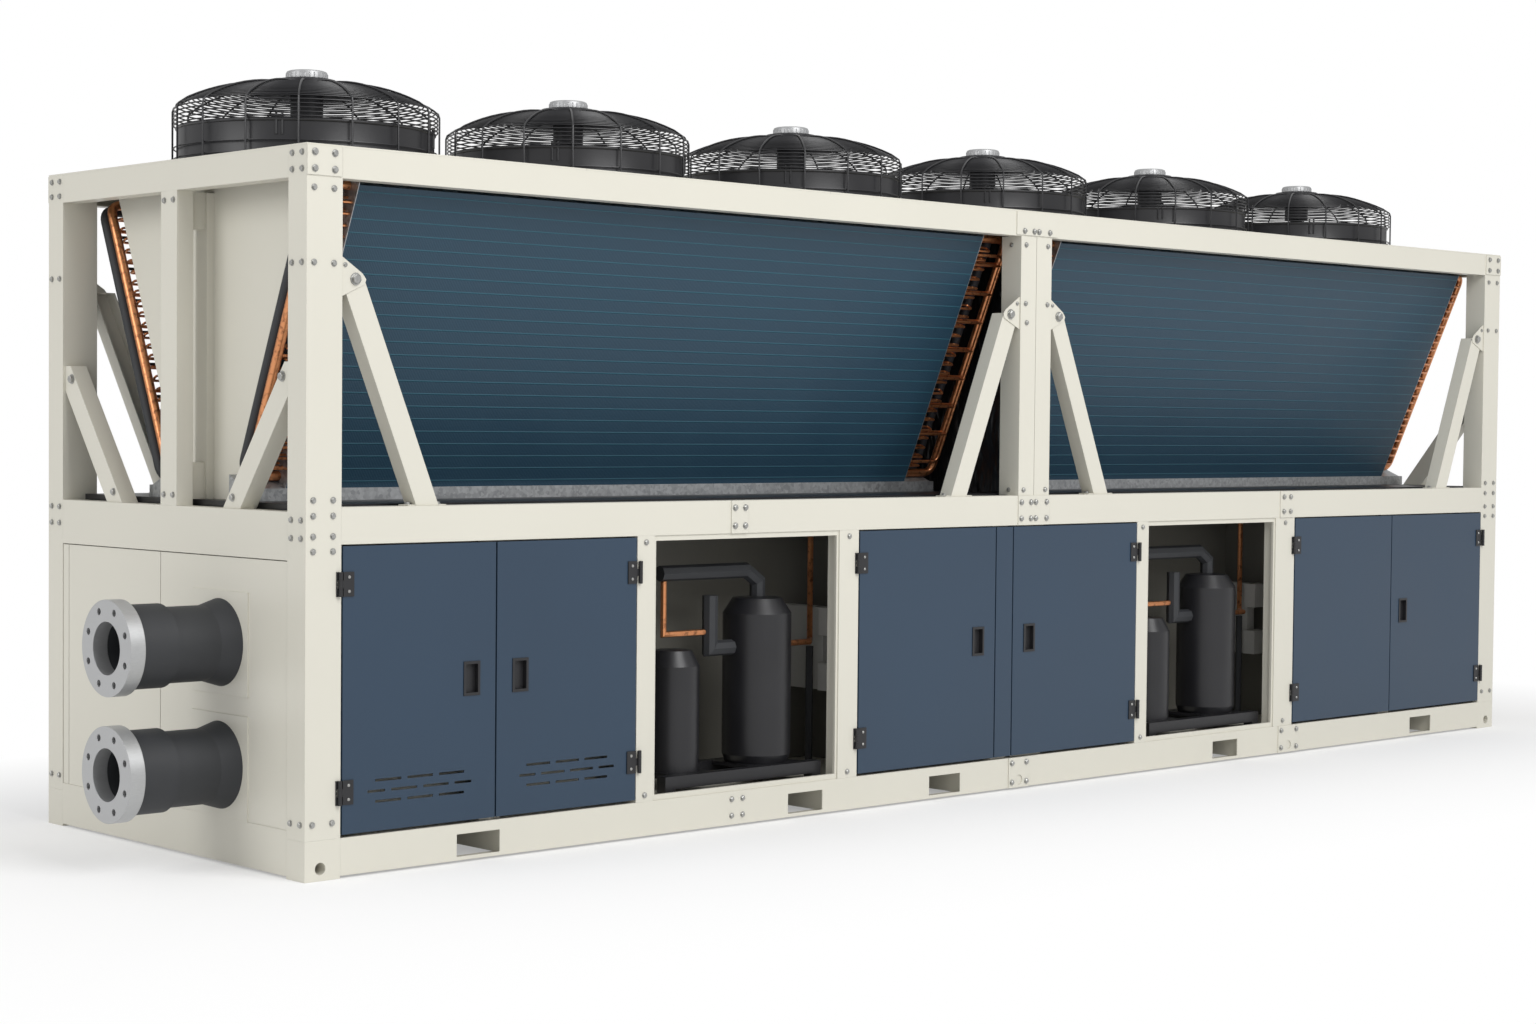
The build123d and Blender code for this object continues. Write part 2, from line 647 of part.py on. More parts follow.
def make_fan_motors():
    """Motor caps on the guards' collars, with the neck and the fixed shaft that each rotor turns on."""
    collar_top = HEIGHT + GUARD_CROWN + COLLAR_THICKNESS
    hub_top = HEIGHT + ROTOR_LIFT + HUB_HEIGHT / 2
    neck_low = hub_top + GUARD_WIRE
    shaft_low = hub_top - HUB_HEIGHT / 2
    with BuildPart() as motors:
        with BuildSketch(Plane.XY.offset(collar_top)):
            with Locations(*FAN_PLACES):
                RegularPolygon(MOTOR_CAP_RADIUS, MOTOR_SIDES)
        extrude(amount=MOTOR_CAP_HEIGHT)
        with BuildSketch(Plane.XY.offset(collar_top)):
            with Locations(*FAN_PLACES):
                RegularPolygon(MOTOR_NECK_RADIUS, MOTOR_SIDES)
        extrude(amount=neck_low - collar_top)
        with BuildSketch(Plane.XY.offset(neck_low)):
            with Locations(*FAN_PLACES):
                Circle(SHAFT_RADIUS)
        extrude(amount=shaft_low - neck_low)
    save(motors, "fan_motors")


def make_fan_rotor(number, place):
    """One rotor: a hub that turns on the fixed shaft, and twisted blades trimmed to the shroud."""
    centre = HEIGHT + ROTOR_LIFT
    low = centre - HUB_HEIGHT / 2
    tip = SHROUD_RADIUS - SHROUD_WALL - BLADE_TIP_GAP
    shaft_low = centre
    root_plane = Plane(origin=(0, HUB_RADIUS / 2, centre), x_dir=(1, 0, 0), z_dir=(0, 1, 0))
    tip_plane = Plane(origin=(0, tip + BLADE_TIP_GAP, centre), x_dir=(1, 0, 0), z_dir=(0, 1, 0))
    with BuildPart() as blade:
        with BuildSketch(root_plane):
            Rectangle(ROOT_CHORD, BLADE_THICKNESS, rotation=ROOT_PITCH)
        with BuildSketch(tip_plane):
            Rectangle(TIP_CHORD, BLADE_THICKNESS, rotation=TIP_PITCH)
        loft(ruled=True)
    with BuildPart() as rotor:
        with PolarLocations(0, BLADE_COUNT):
            add(blade.part)
        with BuildSketch(Plane.XY.offset(low - HUB_HEIGHT)):
            Circle(tip)
        extrude(amount=3 * HUB_HEIGHT, mode=Mode.INTERSECT)
        with BuildSketch(Plane.XY.offset(low)):
            RegularPolygon(HUB_RADIUS, HUB_SIDES)
        extrude(amount=HUB_HEIGHT)
        with BuildSketch(Plane.XY.offset(shaft_low - SHAFT_GAP)):
            Circle(SHAFT_RADIUS + SHAFT_GAP)
        extrude(amount=HUB_HEIGHT, mode=Mode.SUBTRACT)
    with BuildPart() as placed:
        with Locations((place[0], place[1], 0)):
            add(rotor.part)
    save(placed, f"fan_rotor_{number}")


# Coils in a V, with their end fittings
def coil_section(low, high, near, far):
    """A rectangle of the front coil's end section and its mirror image at the back."""
    corners = [coil_point(low, near), coil_point(high, near), coil_point(high, far), coil_point(low, far)]
    Polygon(*corners)
    Polygon(*[(-y, z) for y, z in corners])


def make_coils():
    """Finned blocks, two in a V for each module."""
    with BuildPart() as coils:
        for left, right in COIL_SPANS:
            with BuildSketch(Plane.YZ.offset(left)):
                coil_section(0, COIL_LENGTH, 0, COIL_THICKNESS)
            extrude(amount=right - left)
    save(coils, "coils")


def make_coil_end_plates():
    """Galvanised tube sheets at both ends of each coil."""
    with BuildPart() as plates:
        for left, right in COIL_SPANS:
            for start in (left - END_PLATE, right):
                with BuildSketch(Plane.YZ.offset(start)):
                    coil_section(-END_PLATE_LIP, COIL_LENGTH, 0, COIL_THICKNESS + END_PLATE_LIP)
                extrude(amount=END_PLATE)
    save(plates, "coil_end_plates")


def pipe_run(points, radius, sides):
    """A pipe of few sides along straight runs, added to the current part."""
    path = Wire.make_polygon([Vector(*p) for p in points], close=False)
    start = Plane(origin=points[0], z_dir=Vector(*points[1]) - Vector(*points[0]))
    with BuildSketch(start) as ring:
        RegularPolygon(radius, sides)
    return sweep(ring.sketch, path=path, transition=Transition.RIGHT, mode=Mode.PRIVATE)


def header_places(side, depth_front, depth_back):
    """Upper and lower end of a header as (y, z) pairs, on the front coil (-1) or the back one (1)."""
    depth = depth_front if side < 0 else depth_back
    upper = coil_point(HEADER_END_GAP, depth)
    lower = coil_point(COIL_LENGTH - HEADER_END_GAP, depth)
    return [(-side * y, z) for y, z in (upper, lower)]


def make_headers(name, radius, depth_front, depth_back, first_stub):
    """Header pipes along the outer ends of the coils, with stubs into the tube sheets."""
    ends = ((COIL_SPANS[0][0] - END_PLATE, -1), (COIL_SPANS[1][1] + END_PLATE, 1))
    with BuildPart() as headers:
        for plate_x, out in ends:
            x = plate_x + out * HEADER_OUT
            for side in (-1, 1):
                upper, lower = header_places(side, depth_front, depth_back)
                add(pipe_run([(x, *upper), (x, *lower)], radius, HEADER_SIDES))
                for index in range(STUB_COUNT):
                    share = (index + first_stub) / STUB_COUNT
                    y = upper[0] + (lower[0] - upper[0]) * share
                    z = upper[1] + (lower[1] - upper[1]) * share
                    add(pipe_run([(x, y, z), (plate_x, y, z)], STUB_RADIUS, 6))
    save(headers, name)


def make_return_bends():
    """Copper U bends that join neighbouring tubes at the outer ends of the coils."""
    pitch = COIL_LENGTH / BEND_COUNT
    chamfer_size = BEND_WIDTH / 4
    ends = ((COIL_SPANS[0][0] - END_PLATE, -1), (COIL_SPANS[1][1] + END_PLATE, 1))
    with BuildPart() as bends:
        for plate_x, out in ends:
            for side in (-1, 1):
                depth = 14 if side < 0 else COIL_THICKNESS - 14
                for index in range(BEND_COUNT):
                    y, z = coil_point((index + 0.5) * pitch, depth - BEND_TUBE / 2)
                    along = Vector(0, -side * DOWN[0], DOWN[1])
                    through = Vector(0, -side * INTO[0], INTO[1])
                    plane = Plane(origin=(plate_x, -side * y, z), x_dir=along, z_dir=through)
                    reach = BEND_REACH * out * (1 if plane.y_dir.X > 0 else -1)
                    half = BEND_WIDTH / 2
                    inner = half - BEND_TUBE
                    corner = chamfer_size if reach > 0 else -chamfer_size
                    tube = BEND_TUBE if reach > 0 else -BEND_TUBE
                    with BuildSketch(plane):
                        Polygon(
                            (-half, 0),
                            (-half, reach - corner),
                            (-half + chamfer_size, reach),
                            (half - chamfer_size, reach),
                            (half, reach - corner),
                            (half, 0),
                            (inner, 0),
                            (inner, reach - tube),
                            (-inner, reach - tube),
                            (-inner, 0),
                        )
                    extrude(amount=BEND_TUBE)
    save(bends, "return_bends")


def make_coil_foot_rails():
    """Galvanised rails under the lower edges of the coils, with a seat cut to their slope."""
    inner_y, inner_z = coil_point(COIL_LENGTH, COIL_THICKNESS)
    outer_y, outer_z = coil_point(COIL_LENGTH, 0)
    corners = (
        (outer_y - FOOT_RAIL_LIP, TRAY_TOP),
        (inner_y, TRAY_TOP),
        (inner_y, inner_z),
        (outer_y, outer_z),
        (outer_y - FOOT_RAIL_LIP, outer_z),
    )
    with BuildPart() as rails:
        for left, right in COIL_SPANS:
            with BuildSketch(Plane.YZ.offset(left - FOOT_RAIL_OVERHANG)):
                Polygon(*corners)
                Polygon(*[(-y, z) for y, z in corners])
            extrude(amount=right - left + 2 * FOOT_RAIL_OVERHANG)
    save(rails, "coil_foot_rails")


def make_drain_tray():
    """The tray that carries the foot rails and catches the coils' water, on the cross beams."""
    with BuildPart() as tray:
        with BuildSketch(Plane.XY.offset(END_MID_TOP)):
            width = 2 * (POST_INNER_Y - TRAY_CLEARANCE)
            Rectangle(2 * (END_X - BRACE_SET_BACK - BRACE_DEPTH - TRAY_CLEARANCE), width)
        extrude(amount=TRAY_THICKNESS)
    save(tray, "drain_tray")


def make_v_end_panels():
    """Cream panels that close the V at both ends of each pair of coils, with a stiffener down the middle."""
    edge = COIL_THICKNESS + V_PANEL_EDGE_GAP
    slope = DOWN[0] / -DOWN[1]
    top_y, top_z = coil_point(0, edge)
    foot_y = top_y + (top_z - TRAY_TOP) * slope
    outer_left = COIL_SPANS[0][0] - V_PANEL_OUT
    outer_right = COIL_SPANS[1][1] + V_PANEL_OUT
    inner_left = COIL_SPANS[0][1] + V_PANEL_OUT / 2
    inner_right = COIL_SPANS[1][0] - V_PANEL_OUT / 2
    with BuildPart() as panels:
        for x in (outer_left, inner_left, inner_right, outer_right):
            with BuildSketch(Plane.YZ.offset(x - V_PANEL / 2)):
                Polygon((foot_y, TRAY_TOP), (-foot_y, TRAY_TOP), (-top_y, top_z), (top_y, top_z))
            extrude(amount=V_PANEL)
        for x, out in ((outer_left, -1), (outer_right, 1)):
            reach = END_X - RAIL_DEPTH - abs(x)
            with BuildSketch(Plane.YZ.offset(x)):
                span(-STIFFENER_WIDTH / 2, STIFFENER_WIDTH / 2, TRAY_TOP, TOP_RAIL_LOW)
            extrude(amount=out * STIFFENER_DEPTH)
            with BuildSketch(Plane.YZ.offset(x)):
                span(-BRACKET_WIDTH / 2, BRACKET_WIDTH / 2, TOP_RAIL_LOW - BRACKET_HEIGHT, TOP_RAIL_LOW)
                span(-BRACKET_WIDTH / 2, BRACKET_WIDTH / 2, TRAY_TOP, TRAY_TOP + BRACKET_HEIGHT)
            extrude(amount=out * reach)
    save(panels, "v_end_panels")


# Lower housing
def tray(left, right, low, high, face, depth, wall):
    """A folded tray seen from its face at minus Y, open at the back, added to the current part."""
    with BuildPart() as folded:
        with BuildSketch(Plane.XZ.offset(face)):
            span(left, right, low, high)
        extrude(amount=-depth)
        with BuildSketch(Plane.XZ.offset(face - wall)):
            span(left + wall, right - wall, low + wall, high - wall)
        extrude(amount=wall - depth, mode=Mode.SUBTRACT)
    return folded.part


def louvre_rows(centre):
    """Three rows of slots at the foot of a door: short, long, long, short in the middle row."""
    step = LONG_LOUVRE + LOUVRE_GAP
    middle_step = (LONG_LOUVRE + SHORT_LOUVRE) / 2 + LOUVRE_GAP
    for row in (-1, 1):
        with Locations((centre, LOUVRE_CENTRE_HEIGHT + row * LOUVRE_PITCH)):
            with GridLocations(step, 0, 3, 1):
                Rectangle(LONG_LOUVRE, LOUVRE_HEIGHT)
    for side in (-1, 1):
        with Locations((centre + side * step / 2, LOUVRE_CENTRE_HEIGHT)):
            Rectangle(LONG_LOUVRE, LOUVRE_HEIGHT)
        with Locations((centre + side * (step / 2 + middle_step), LOUVRE_CENTRE_HEIGHT)):
            Rectangle(SHORT_LOUVRE, LOUVRE_HEIGHT)


def make_door_panel(number, left, right, hinged, has_pull, has_louvres):
    """One door: a folded steel tray, cut for its flush pull and its louvres."""
    free_edge = right if hinged < 0 else left
    pull_x = free_edge + hinged * PULL_INSET
    with BuildPart() as panel:
        add(tray(left, right, DOOR_LOW, DOOR_HIGH, DOOR_FACE_Y, DOOR_DEPTH, DOOR_SHEET))
        if has_pull:
            with BuildSketch(Plane.XZ.offset(DOOR_FACE_Y)):
                with Locations((pull_x, PULL_CENTRE_HEIGHT)):
                    Rectangle(PULL_WIDTH - 2 * PULL_RIM + 2 * PULL_FIT, PULL_HEIGHT - 2 * PULL_RIM + 2 * PULL_FIT)
            extrude(amount=-DOOR_SHEET, mode=Mode.SUBTRACT)
        if has_louvres:
            with BuildSketch(Plane.XZ.offset(DOOR_FACE_Y)):
                louvre_rows((left + right) / 2)
            extrude(amount=-DOOR_SHEET, mode=Mode.SUBTRACT)
    save(panel, f"door_{number}_panel")


def knuckle(pin_x, low, high):
    """One knuckle of a hinge, added to the current part."""
    with BuildPart() as barrel:
        with BuildSketch(Plane.XY.offset(low)):
            with Locations((pin_x, -FRONT_Y - HINGE_PIN_FORWARD)):
                RegularPolygon(KNUCKLE_RADIUS, KNUCKLE_SIDES, rotation=180 / KNUCKLE_SIDES)
        extrude(amount=high - low)
    return barrel.part


def make_door_fittings(number, left, right, hinged, has_pull, has_louvres):
    """Black fittings of one door: the flush pull and the two moving hinge leaves with their knuckles."""
    edge = left if hinged < 0 else right
    free_edge = right if hinged < 0 else left
    post_edge = edge + hinged * DOOR_GAP
    pin_x = post_edge + hinged * HINGE_PIN_INSET
    leaf_end = post_edge - hinged * HINGE_OVER_DOOR
    pull_x = free_edge + hinged * PULL_INSET
    third = HINGE_HEIGHT / 6 - KNUCKLE_GAP
    cup = (PULL_WIDTH - 2 * PULL_RIM, PULL_HEIGHT - 2 * PULL_RIM)
    with BuildPart() as fittings:
        for height in (HINGE_LOWER, HINGE_UPPER):
            with BuildSketch(Plane.XZ.offset(DOOR_FACE_Y)):
                span(
                    min(pin_x, leaf_end),
                    max(pin_x, leaf_end),
                    height - third,
                    height + third,
                )
                span(
                    min(edge, leaf_end),
                    max(edge, leaf_end),
                    height - HINGE_HEIGHT / 2,
                    height + HINGE_HEIGHT / 2,
                )
            extrude(amount=HINGE_LEAF)
            add(knuckle(pin_x, height - third, height + third))
        if has_pull:
            with BuildSketch(Plane.XZ.offset(DOOR_FACE_Y)):
                with Locations((pull_x, PULL_CENTRE_HEIGHT)):
                    Rectangle(PULL_WIDTH, PULL_HEIGHT)
            extrude(amount=PULL_RIM_THICKNESS)
            with BuildSketch(Plane.XZ.offset(DOOR_FACE_Y)):
                with Locations((pull_x, PULL_CENTRE_HEIGHT)):
                    Rectangle(*cup)
            extrude(amount=-PULL_DEPTH)
            with BuildSketch(Plane.XZ.offset(DOOR_FACE_Y + PULL_RIM_THICKNESS)):
                with Locations((pull_x, PULL_CENTRE_HEIGHT)):
                    Rectangle(cup[0] - 2 * PULL_WALL, cup[1] - 2 * PULL_WALL)
            extrude(amount=-(PULL_RIM_THICKNESS + PULL_DEPTH - PULL_WALL), mode=Mode.SUBTRACT)
    save(fittings, f"door_{number}_fittings")


def make_hinge_frame_leaves():
    """Hinge leaves on the posts and jambs, with an upper and a lower knuckle each."""
    third = HINGE_HEIGHT / 6
    with BuildPart() as leaves:
        for number, left, right, hinged, has_pull, has_louvres in DOORS:
            post_edge = (left if hinged < 0 else right) + hinged * DOOR_GAP
            pin_x = post_edge + hinged * HINGE_PIN_INSET
            outer = post_edge + hinged * HINGE_OVER_POST
            for height in (HINGE_LOWER, HINGE_UPPER):
                with BuildSketch(Plane.XZ.offset(FRONT_Y)):
                    span(
                        min(outer, pin_x),
                        max(outer, pin_x),
                        height - HINGE_HEIGHT / 2,
                        height + HINGE_HEIGHT / 2,
                    )
                    with Locations((pin_x, height)):
                        Rectangle(2 * (KNUCKLE_RADIUS + KNUCKLE_GAP), 2 * third, mode=Mode.SUBTRACT)
                extrude(amount=HINGE_LEAF)
                add(knuckle(pin_x, height - HINGE_HEIGHT / 2, height - third))
                add(knuckle(pin_x, height + third, height + HINGE_HEIGHT / 2))
    save(leaves, "hinge_frame_leaves")


def make_centre_strip():
    """The fixed blue strip between the two middle doors, and its like at the back."""
    left = STRIP_LEFT + DOOR_HALF_GAP
    right = STRIP_RIGHT - DOOR_HALF_GAP
    with BuildPart() as strip:
        add(tray(left, right, DOOR_LOW, DOOR_HIGH, DOOR_FACE_Y, DOOR_DEPTH, DOOR_SHEET))
        mirror(about=Plane.XZ)
    save(strip, "centre_strip")


def make_back_panels():
    """Fixed panels on the back, in the same division as the front; the bays are covered there."""
    fixed_edge = DOOR_GAP - FIXED_PANEL_FIT
    spans = [(left + FIXED_PANEL_FIT, right - FIXED_PANEL_FIT) for left, right in BAYS]
    for number, left, right, hinged, has_pull, has_louvres in DOORS:
        spans.append((left - fixed_edge, right) if hinged < 0 else (left, right + fixed_edge))
    with BuildPart() as panels:
        for left, right in spans:
            add(tray(left, right, DOOR_LOW, DOOR_HIGH, DOOR_FACE_Y, DOOR_DEPTH, DOOR_SHEET))
    with BuildPart() as turned:
        mirror(panels.part, about=Plane.XZ)
    save(turned, "back_panels")


def make_inner_panels():
    """Plain inner walls behind the doors and behind the back panels."""
    walls = (
        (-POST_INNER_X - INNER_PANEL_LAP, BAY_1_LEFT - LINER),
        (DOOR_3_LEFT, BAY_2_LEFT - LINER),
        (DOOR_5_LEFT, POST_INNER_X + INNER_PANEL_LAP),
    )
    with BuildPart() as inner:
        with BuildSketch(Plane.XZ.offset(POST_INNER_Y)):
            for left, right in walls:
                span(left, right, BASE_TOP, MID_RAIL_LOW)
        extrude(amount=-LINER)
        with BuildSketch(Plane.XZ.offset(-POST_INNER_Y)):
            edge = POST_INNER_X + INNER_PANEL_LAP
            span(-edge, edge, BASE_TOP, MID_RAIL_LOW)
        extrude(amount=LINER)
    save(inner, "inner_panels")


def make_end_panels():
    """Cream trays that close the lower ends of the housing."""
    face = END_X - END_PANEL_SET_BACK
    edges = (-POST_INNER_Y, *END_SEAMS, POST_INNER_Y)
    with BuildPart() as panels:
        for low, high in zip(edges, edges[1:]):
            left = low + END_PANEL_GAP / 2
            right = high - END_PANEL_GAP / 2
            top = END_MID_LOW - END_PANEL_GAP
            with BuildSketch(Plane.YZ.offset(-face)):
                span(left, right, END_BASE_TOP, top)
            extrude(amount=END_PANEL_DEPTH)
            with BuildSketch(Plane.YZ.offset(-face + DOOR_SHEET)):
                span(left + DOOR_SHEET, right - DOOR_SHEET, END_BASE_TOP + DOOR_SHEET, top - DOOR_SHEET)
            extrude(amount=END_PANEL_DEPTH - DOOR_SHEET, mode=Mode.SUBTRACT)
        mirror(about=Plane.YZ)
    save(panels, "end_panels")


# Water connections
def make_pipe_plates():
    """Square plates that the water pipes leave through."""
    face = END_X - END_PANEL_SET_BACK
    with BuildPart() as plates:
        with BuildSketch(Plane.YZ.offset(-face)):
            for height in PIPE_HEIGHTS:
                with Locations((PIPE_Y, height)):
                    Rectangle(WALL_PLATE, WALL_PLATE)
        extrude(amount=-PLATE)
    save(plates, "pipe_plates")


def make_water_pipes():
    """Insulated pipes with a collar behind the flange and a flare at the wall."""
    wall_x = -END_X + END_PANEL_SET_BACK - PLATE
    flange_back = -END_X - PIPE_REACH + FLANGE_THICKNESS
    collar_end = flange_back + COLLAR_LENGTH
    flare_start = wall_x - FLARE_LENGTH
    with BuildPart() as pipes:
        for height in PIPE_HEIGHTS:
            with BuildSketch(Plane(origin=(0, PIPE_Y, height), x_dir=(1, 0, 0), z_dir=(0, -1, 0))):
                Polygon(
                    (flange_back, PIPE_BORE_RADIUS),
                    (wall_x, PIPE_BORE_RADIUS),
                    (wall_x, FLARE_RADIUS),
                    (flare_start, INSULATION_RADIUS),
                    (collar_end, INSULATION_RADIUS),
                    (collar_end, COLLAR_RADIUS),
                    (flange_back, COLLAR_RADIUS),
                )
            revolve(axis=Axis((0, PIPE_Y, height), (1, 0, 0)))
    save(pipes, "water_pipes")


def make_pipe_flanges():
    """Bored flanges with eight bolt holes each."""
    with BuildPart() as flanges:
        with BuildSketch(Plane.YZ.offset(-END_X - PIPE_REACH)):
            for height in PIPE_HEIGHTS:
                with Locations((PIPE_Y, height)):
                    Circle(FLANGE_RADIUS)
                    Circle(PIPE_BORE_RADIUS, mode=Mode.SUBTRACT)
                    with PolarLocations(FLANGE_PCD / 2, FLANGE_HOLES, start_angle=180 / FLANGE_HOLES):
                        Circle(FLANGE_HOLE_RADIUS, mode=Mode.SUBTRACT)
        extrude(amount=FLANGE_THICKNESS)
    save(flanges, "pipe_flanges")


# Compressor bays
def make_bay_frames():
    """Lip frames inside the two open bays."""
    face = FRONT_Y - BAY_FRAME_SET_BACK
    with BuildPart() as frames:
        with BuildSketch(Plane.XZ.offset(face)):
            for left, right in BAYS:
                span(left, right, BASE_TOP, MID_RAIL_LOW)
            for left, right in BAYS:
                centre = ((left + right) / 2, (BAY_SILL + BAY_HEAD) / 2)
                with Locations(centre):
                    Rectangle(right - left - 2 * BAY_LIP, BAY_HEAD - BAY_SILL, mode=Mode.SUBTRACT)
        extrude(amount=-BAY_FRAME_DEPTH)
    save(frames, "bay_frames")


def make_bay_liners():
    """Side and back walls of the bays; the right part of each bay runs on behind the next door."""
    gap = 0.3
    with BuildPart() as liners:
        with BuildSketch(Plane.XY.offset(BASE_TOP)):
            for left, right in BAYS:
                far = right + BAY_BEHIND_JAMB
                span(left - LINER, left, -RAIL_INNER_Y, BAY_BACK_Y)
                span(far, far + LINER, -POST_INNER_Y + LINER + gap, BAY_BACK_Y)
                span(left - LINER, far + LINER, BAY_BACK_Y + gap, BAY_BACK_Y + gap + LINER)
        extrude(amount=MID_RAIL_LOW - BASE_TOP)
    save(liners, "bay_liners")


def make_bay_skids():
    """Black bars on the bay floors, with feet and the plates that the vessels stand on."""
    with BuildPart() as skids:
        for left, right in BAYS:
            x = right - VESSEL_FROM_SIDE
            bar_low = VESSEL_FOOT - SKID_BAR
            with BuildSketch(Plane.XY.offset(bar_low)):
                for y in (SKID_FRONT_Y, SKID_BACK_Y):
                    span(x + SKID_LEFT, x + SKID_RIGHT, y - SKID_BAR / 2, y + SKID_BAR / 2)
            extrude(amount=SKID_BAR)
            with BuildSketch(Plane.XY.offset(VESSEL_FOOT - SKID_PLATE)):
                for offset_x, radius in ((0, VESSEL_RADIUS), (COMPRESSOR_OFFSET, COMPRESSOR_RADIUS)):
                    with Locations((x + offset_x, (SKID_FRONT_Y + SKID_BACK_Y) / 2)):
                        Rectangle(2 * radius, SKID_BACK_Y - SKID_FRONT_Y)
            extrude(amount=SKID_PLATE)
            with BuildSketch(Plane.XY.offset(BASE_TOP)):
                for foot_x in (x + SKID_LEFT + SKID_BAR / 2, x + SKID_RIGHT - SKID_BAR / 2):
                    with Locations((foot_x, SKID_FRONT_Y), (foot_x, SKID_BACK_Y)):
                        Rectangle(SKID_BAR, SKID_BAR)
            extrude(amount=bar_low - BASE_TOP)
    save(skids, "bay_skids")


def make_oil_vessels():
    """Tall black vessels with a domed top and a foot ring."""
    side_top = VESSEL_TOP - VESSEL_DOME
    with BuildPart() as vessels:
        for left, right in BAYS:
            x = right - VESSEL_FROM_SIDE
            with BuildSketch(Plane(origin=(x, VESSEL_Y, 0), x_dir=(1, 0, 0), z_dir=(0, -1, 0))):
                Polygon(
                    (0, VESSEL_FOOT),
                    (VESSEL_RADIUS - 2 * VESSEL_BAND, VESSEL_FOOT),
                    (VESSEL_RADIUS, VESSEL_FOOT + VESSEL_DOME / 2),
                    (VESSEL_RADIUS, side_top),
                    (VESSEL_RADIUS * 0.72, VESSEL_TOP - VESSEL_BAND),
                    (BLACK_PIPE_RADIUS + NOZZLE_LIP, VESSEL_TOP),
                    (0, VESSEL_TOP),
                )
            revolve(axis=Axis((x, VESSEL_Y, 0), (0, 0, 1)))
    save(vessels, "oil_vessels")


def make_compressors():
    """Small upright compressors with a domed top."""
    side_top = COMPRESSOR_TOP - VESSEL_DOME
    with BuildPart() as compressors:
        for left, right in BAYS:
            x = right - VESSEL_FROM_SIDE + COMPRESSOR_OFFSET
            with BuildSketch(Plane(origin=(x, VESSEL_Y, 0), x_dir=(1, 0, 0), z_dir=(0, -1, 0))):
                Polygon(
                    (0, VESSEL_FOOT),
                    (COMPRESSOR_RADIUS, VESSEL_FOOT),
                    (COMPRESSOR_RADIUS, side_top),
                    (COMPRESSOR_RADIUS * 0.7, COMPRESSOR_TOP - VESSEL_BAND),
                    (0, COMPRESSOR_TOP),
                )
            revolve(axis=Axis((x, VESSEL_Y, 0), (0, 0, 1)))
    save(compressors, "compressors")


def make_black_bay_pipes():
    """Insulated pipes: over the top into the vessel, the elbow beside it, and the ends of the riser."""
    with BuildPart() as pipes:
        for left, right in BAYS:
            x = right - VESSEL_FROM_SIDE
            over = [
                (x + SKID_LEFT + 90, VESSEL_Y, SUCTION_HEIGHT),
                (x - 60, VESSEL_Y, SUCTION_HEIGHT),
                (x, VESSEL_Y, SUCTION_HEIGHT - 40),
                (x, VESSEL_Y, VESSEL_TOP),
            ]
            elbow = [
                (x - 230, VESSEL_Y, 800),
                (x - 230, VESSEL_Y, PORT_HEIGHT),
                (x - VESSEL_RADIUS - PORT_GAP, VESSEL_Y, PORT_HEIGHT),
            ]
            add(pipe_run(over, BLACK_PIPE_RADIUS, PIPE_SIDES))
            add(pipe_run(elbow, BLACK_PIPE_RADIUS, PIPE_SIDES))
            riser = x + RISER_OFFSET
            add(pipe_run([(riser, RISER_Y, BASE_TOP), (riser, RISER_Y, 585)], BLACK_PIPE_RADIUS / 2, PIPE_SIDES))
    save(pipes, "black_bay_pipes")


def make_copper_bay_pipes():
    """Bare copper: the drop at the left, and the riser at the right with its branch to the vessel."""
    with BuildPart() as pipes:
        for left, right in BAYS:
            x = right - VESSEL_FROM_SIDE
            riser = x + RISER_OFFSET
            drop = [
                (x + SKID_LEFT + 110, VESSEL_Y, SUCTION_HEIGHT - BLACK_PIPE_RADIUS),
                (x + SKID_LEFT + 110, VESSEL_Y, PORT_HEIGHT + 60),
                (x - 230 - BLACK_PIPE_RADIUS, VESSEL_Y, PORT_HEIGHT + 60),
            ]
            branch = [
                (x + VESSEL_RADIUS + PORT_GAP, VESSEL_Y, PORT_HEIGHT),
                (riser - 80, VESSEL_Y, PORT_HEIGHT),
                (riser, RISER_Y, PORT_HEIGHT),
                (riser, RISER_Y, MID_RAIL_LOW),
            ]
            add(pipe_run(drop, COPPER_PIPE_RADIUS, PIPE_SIDES))
            add(pipe_run(branch, COPPER_PIPE_RADIUS, PIPE_SIDES))
    save(pipes, "copper_bay_pipes")


def make_valve_boxes():
    """Light valve drives on a bracket from the back wall, beside each riser."""
    with BuildPart() as boxes:
        for left, right in BAYS:
            x = right - VESSEL_FROM_SIDE + VALVE_BOX_OFFSET
            front = RISER_Y - VALVE_BOX_DEPTH / 2
            with BuildSketch(Plane.XZ.offset(-front)):
                for height in VALVE_BOX_HEIGHTS:
                    with Locations((x, height)):
                        Rectangle(VALVE_BOX, VALVE_BOX)
            extrude(amount=-VALVE_BOX_DEPTH)
            with BuildSketch(Plane.XZ.offset(-front - VALVE_BOX_DEPTH)):
                with Locations((x, sum(VALVE_BOX_HEIGHTS) / 2)):
                    Rectangle(VALVE_BOX / 2, VALVE_BOX_HEIGHTS[1] - VALVE_BOX_HEIGHTS[0] + VALVE_BOX)
            extrude(amount=front + VALVE_BOX_DEPTH - BAY_BACK_Y)
    save(boxes, "valve_boxes")


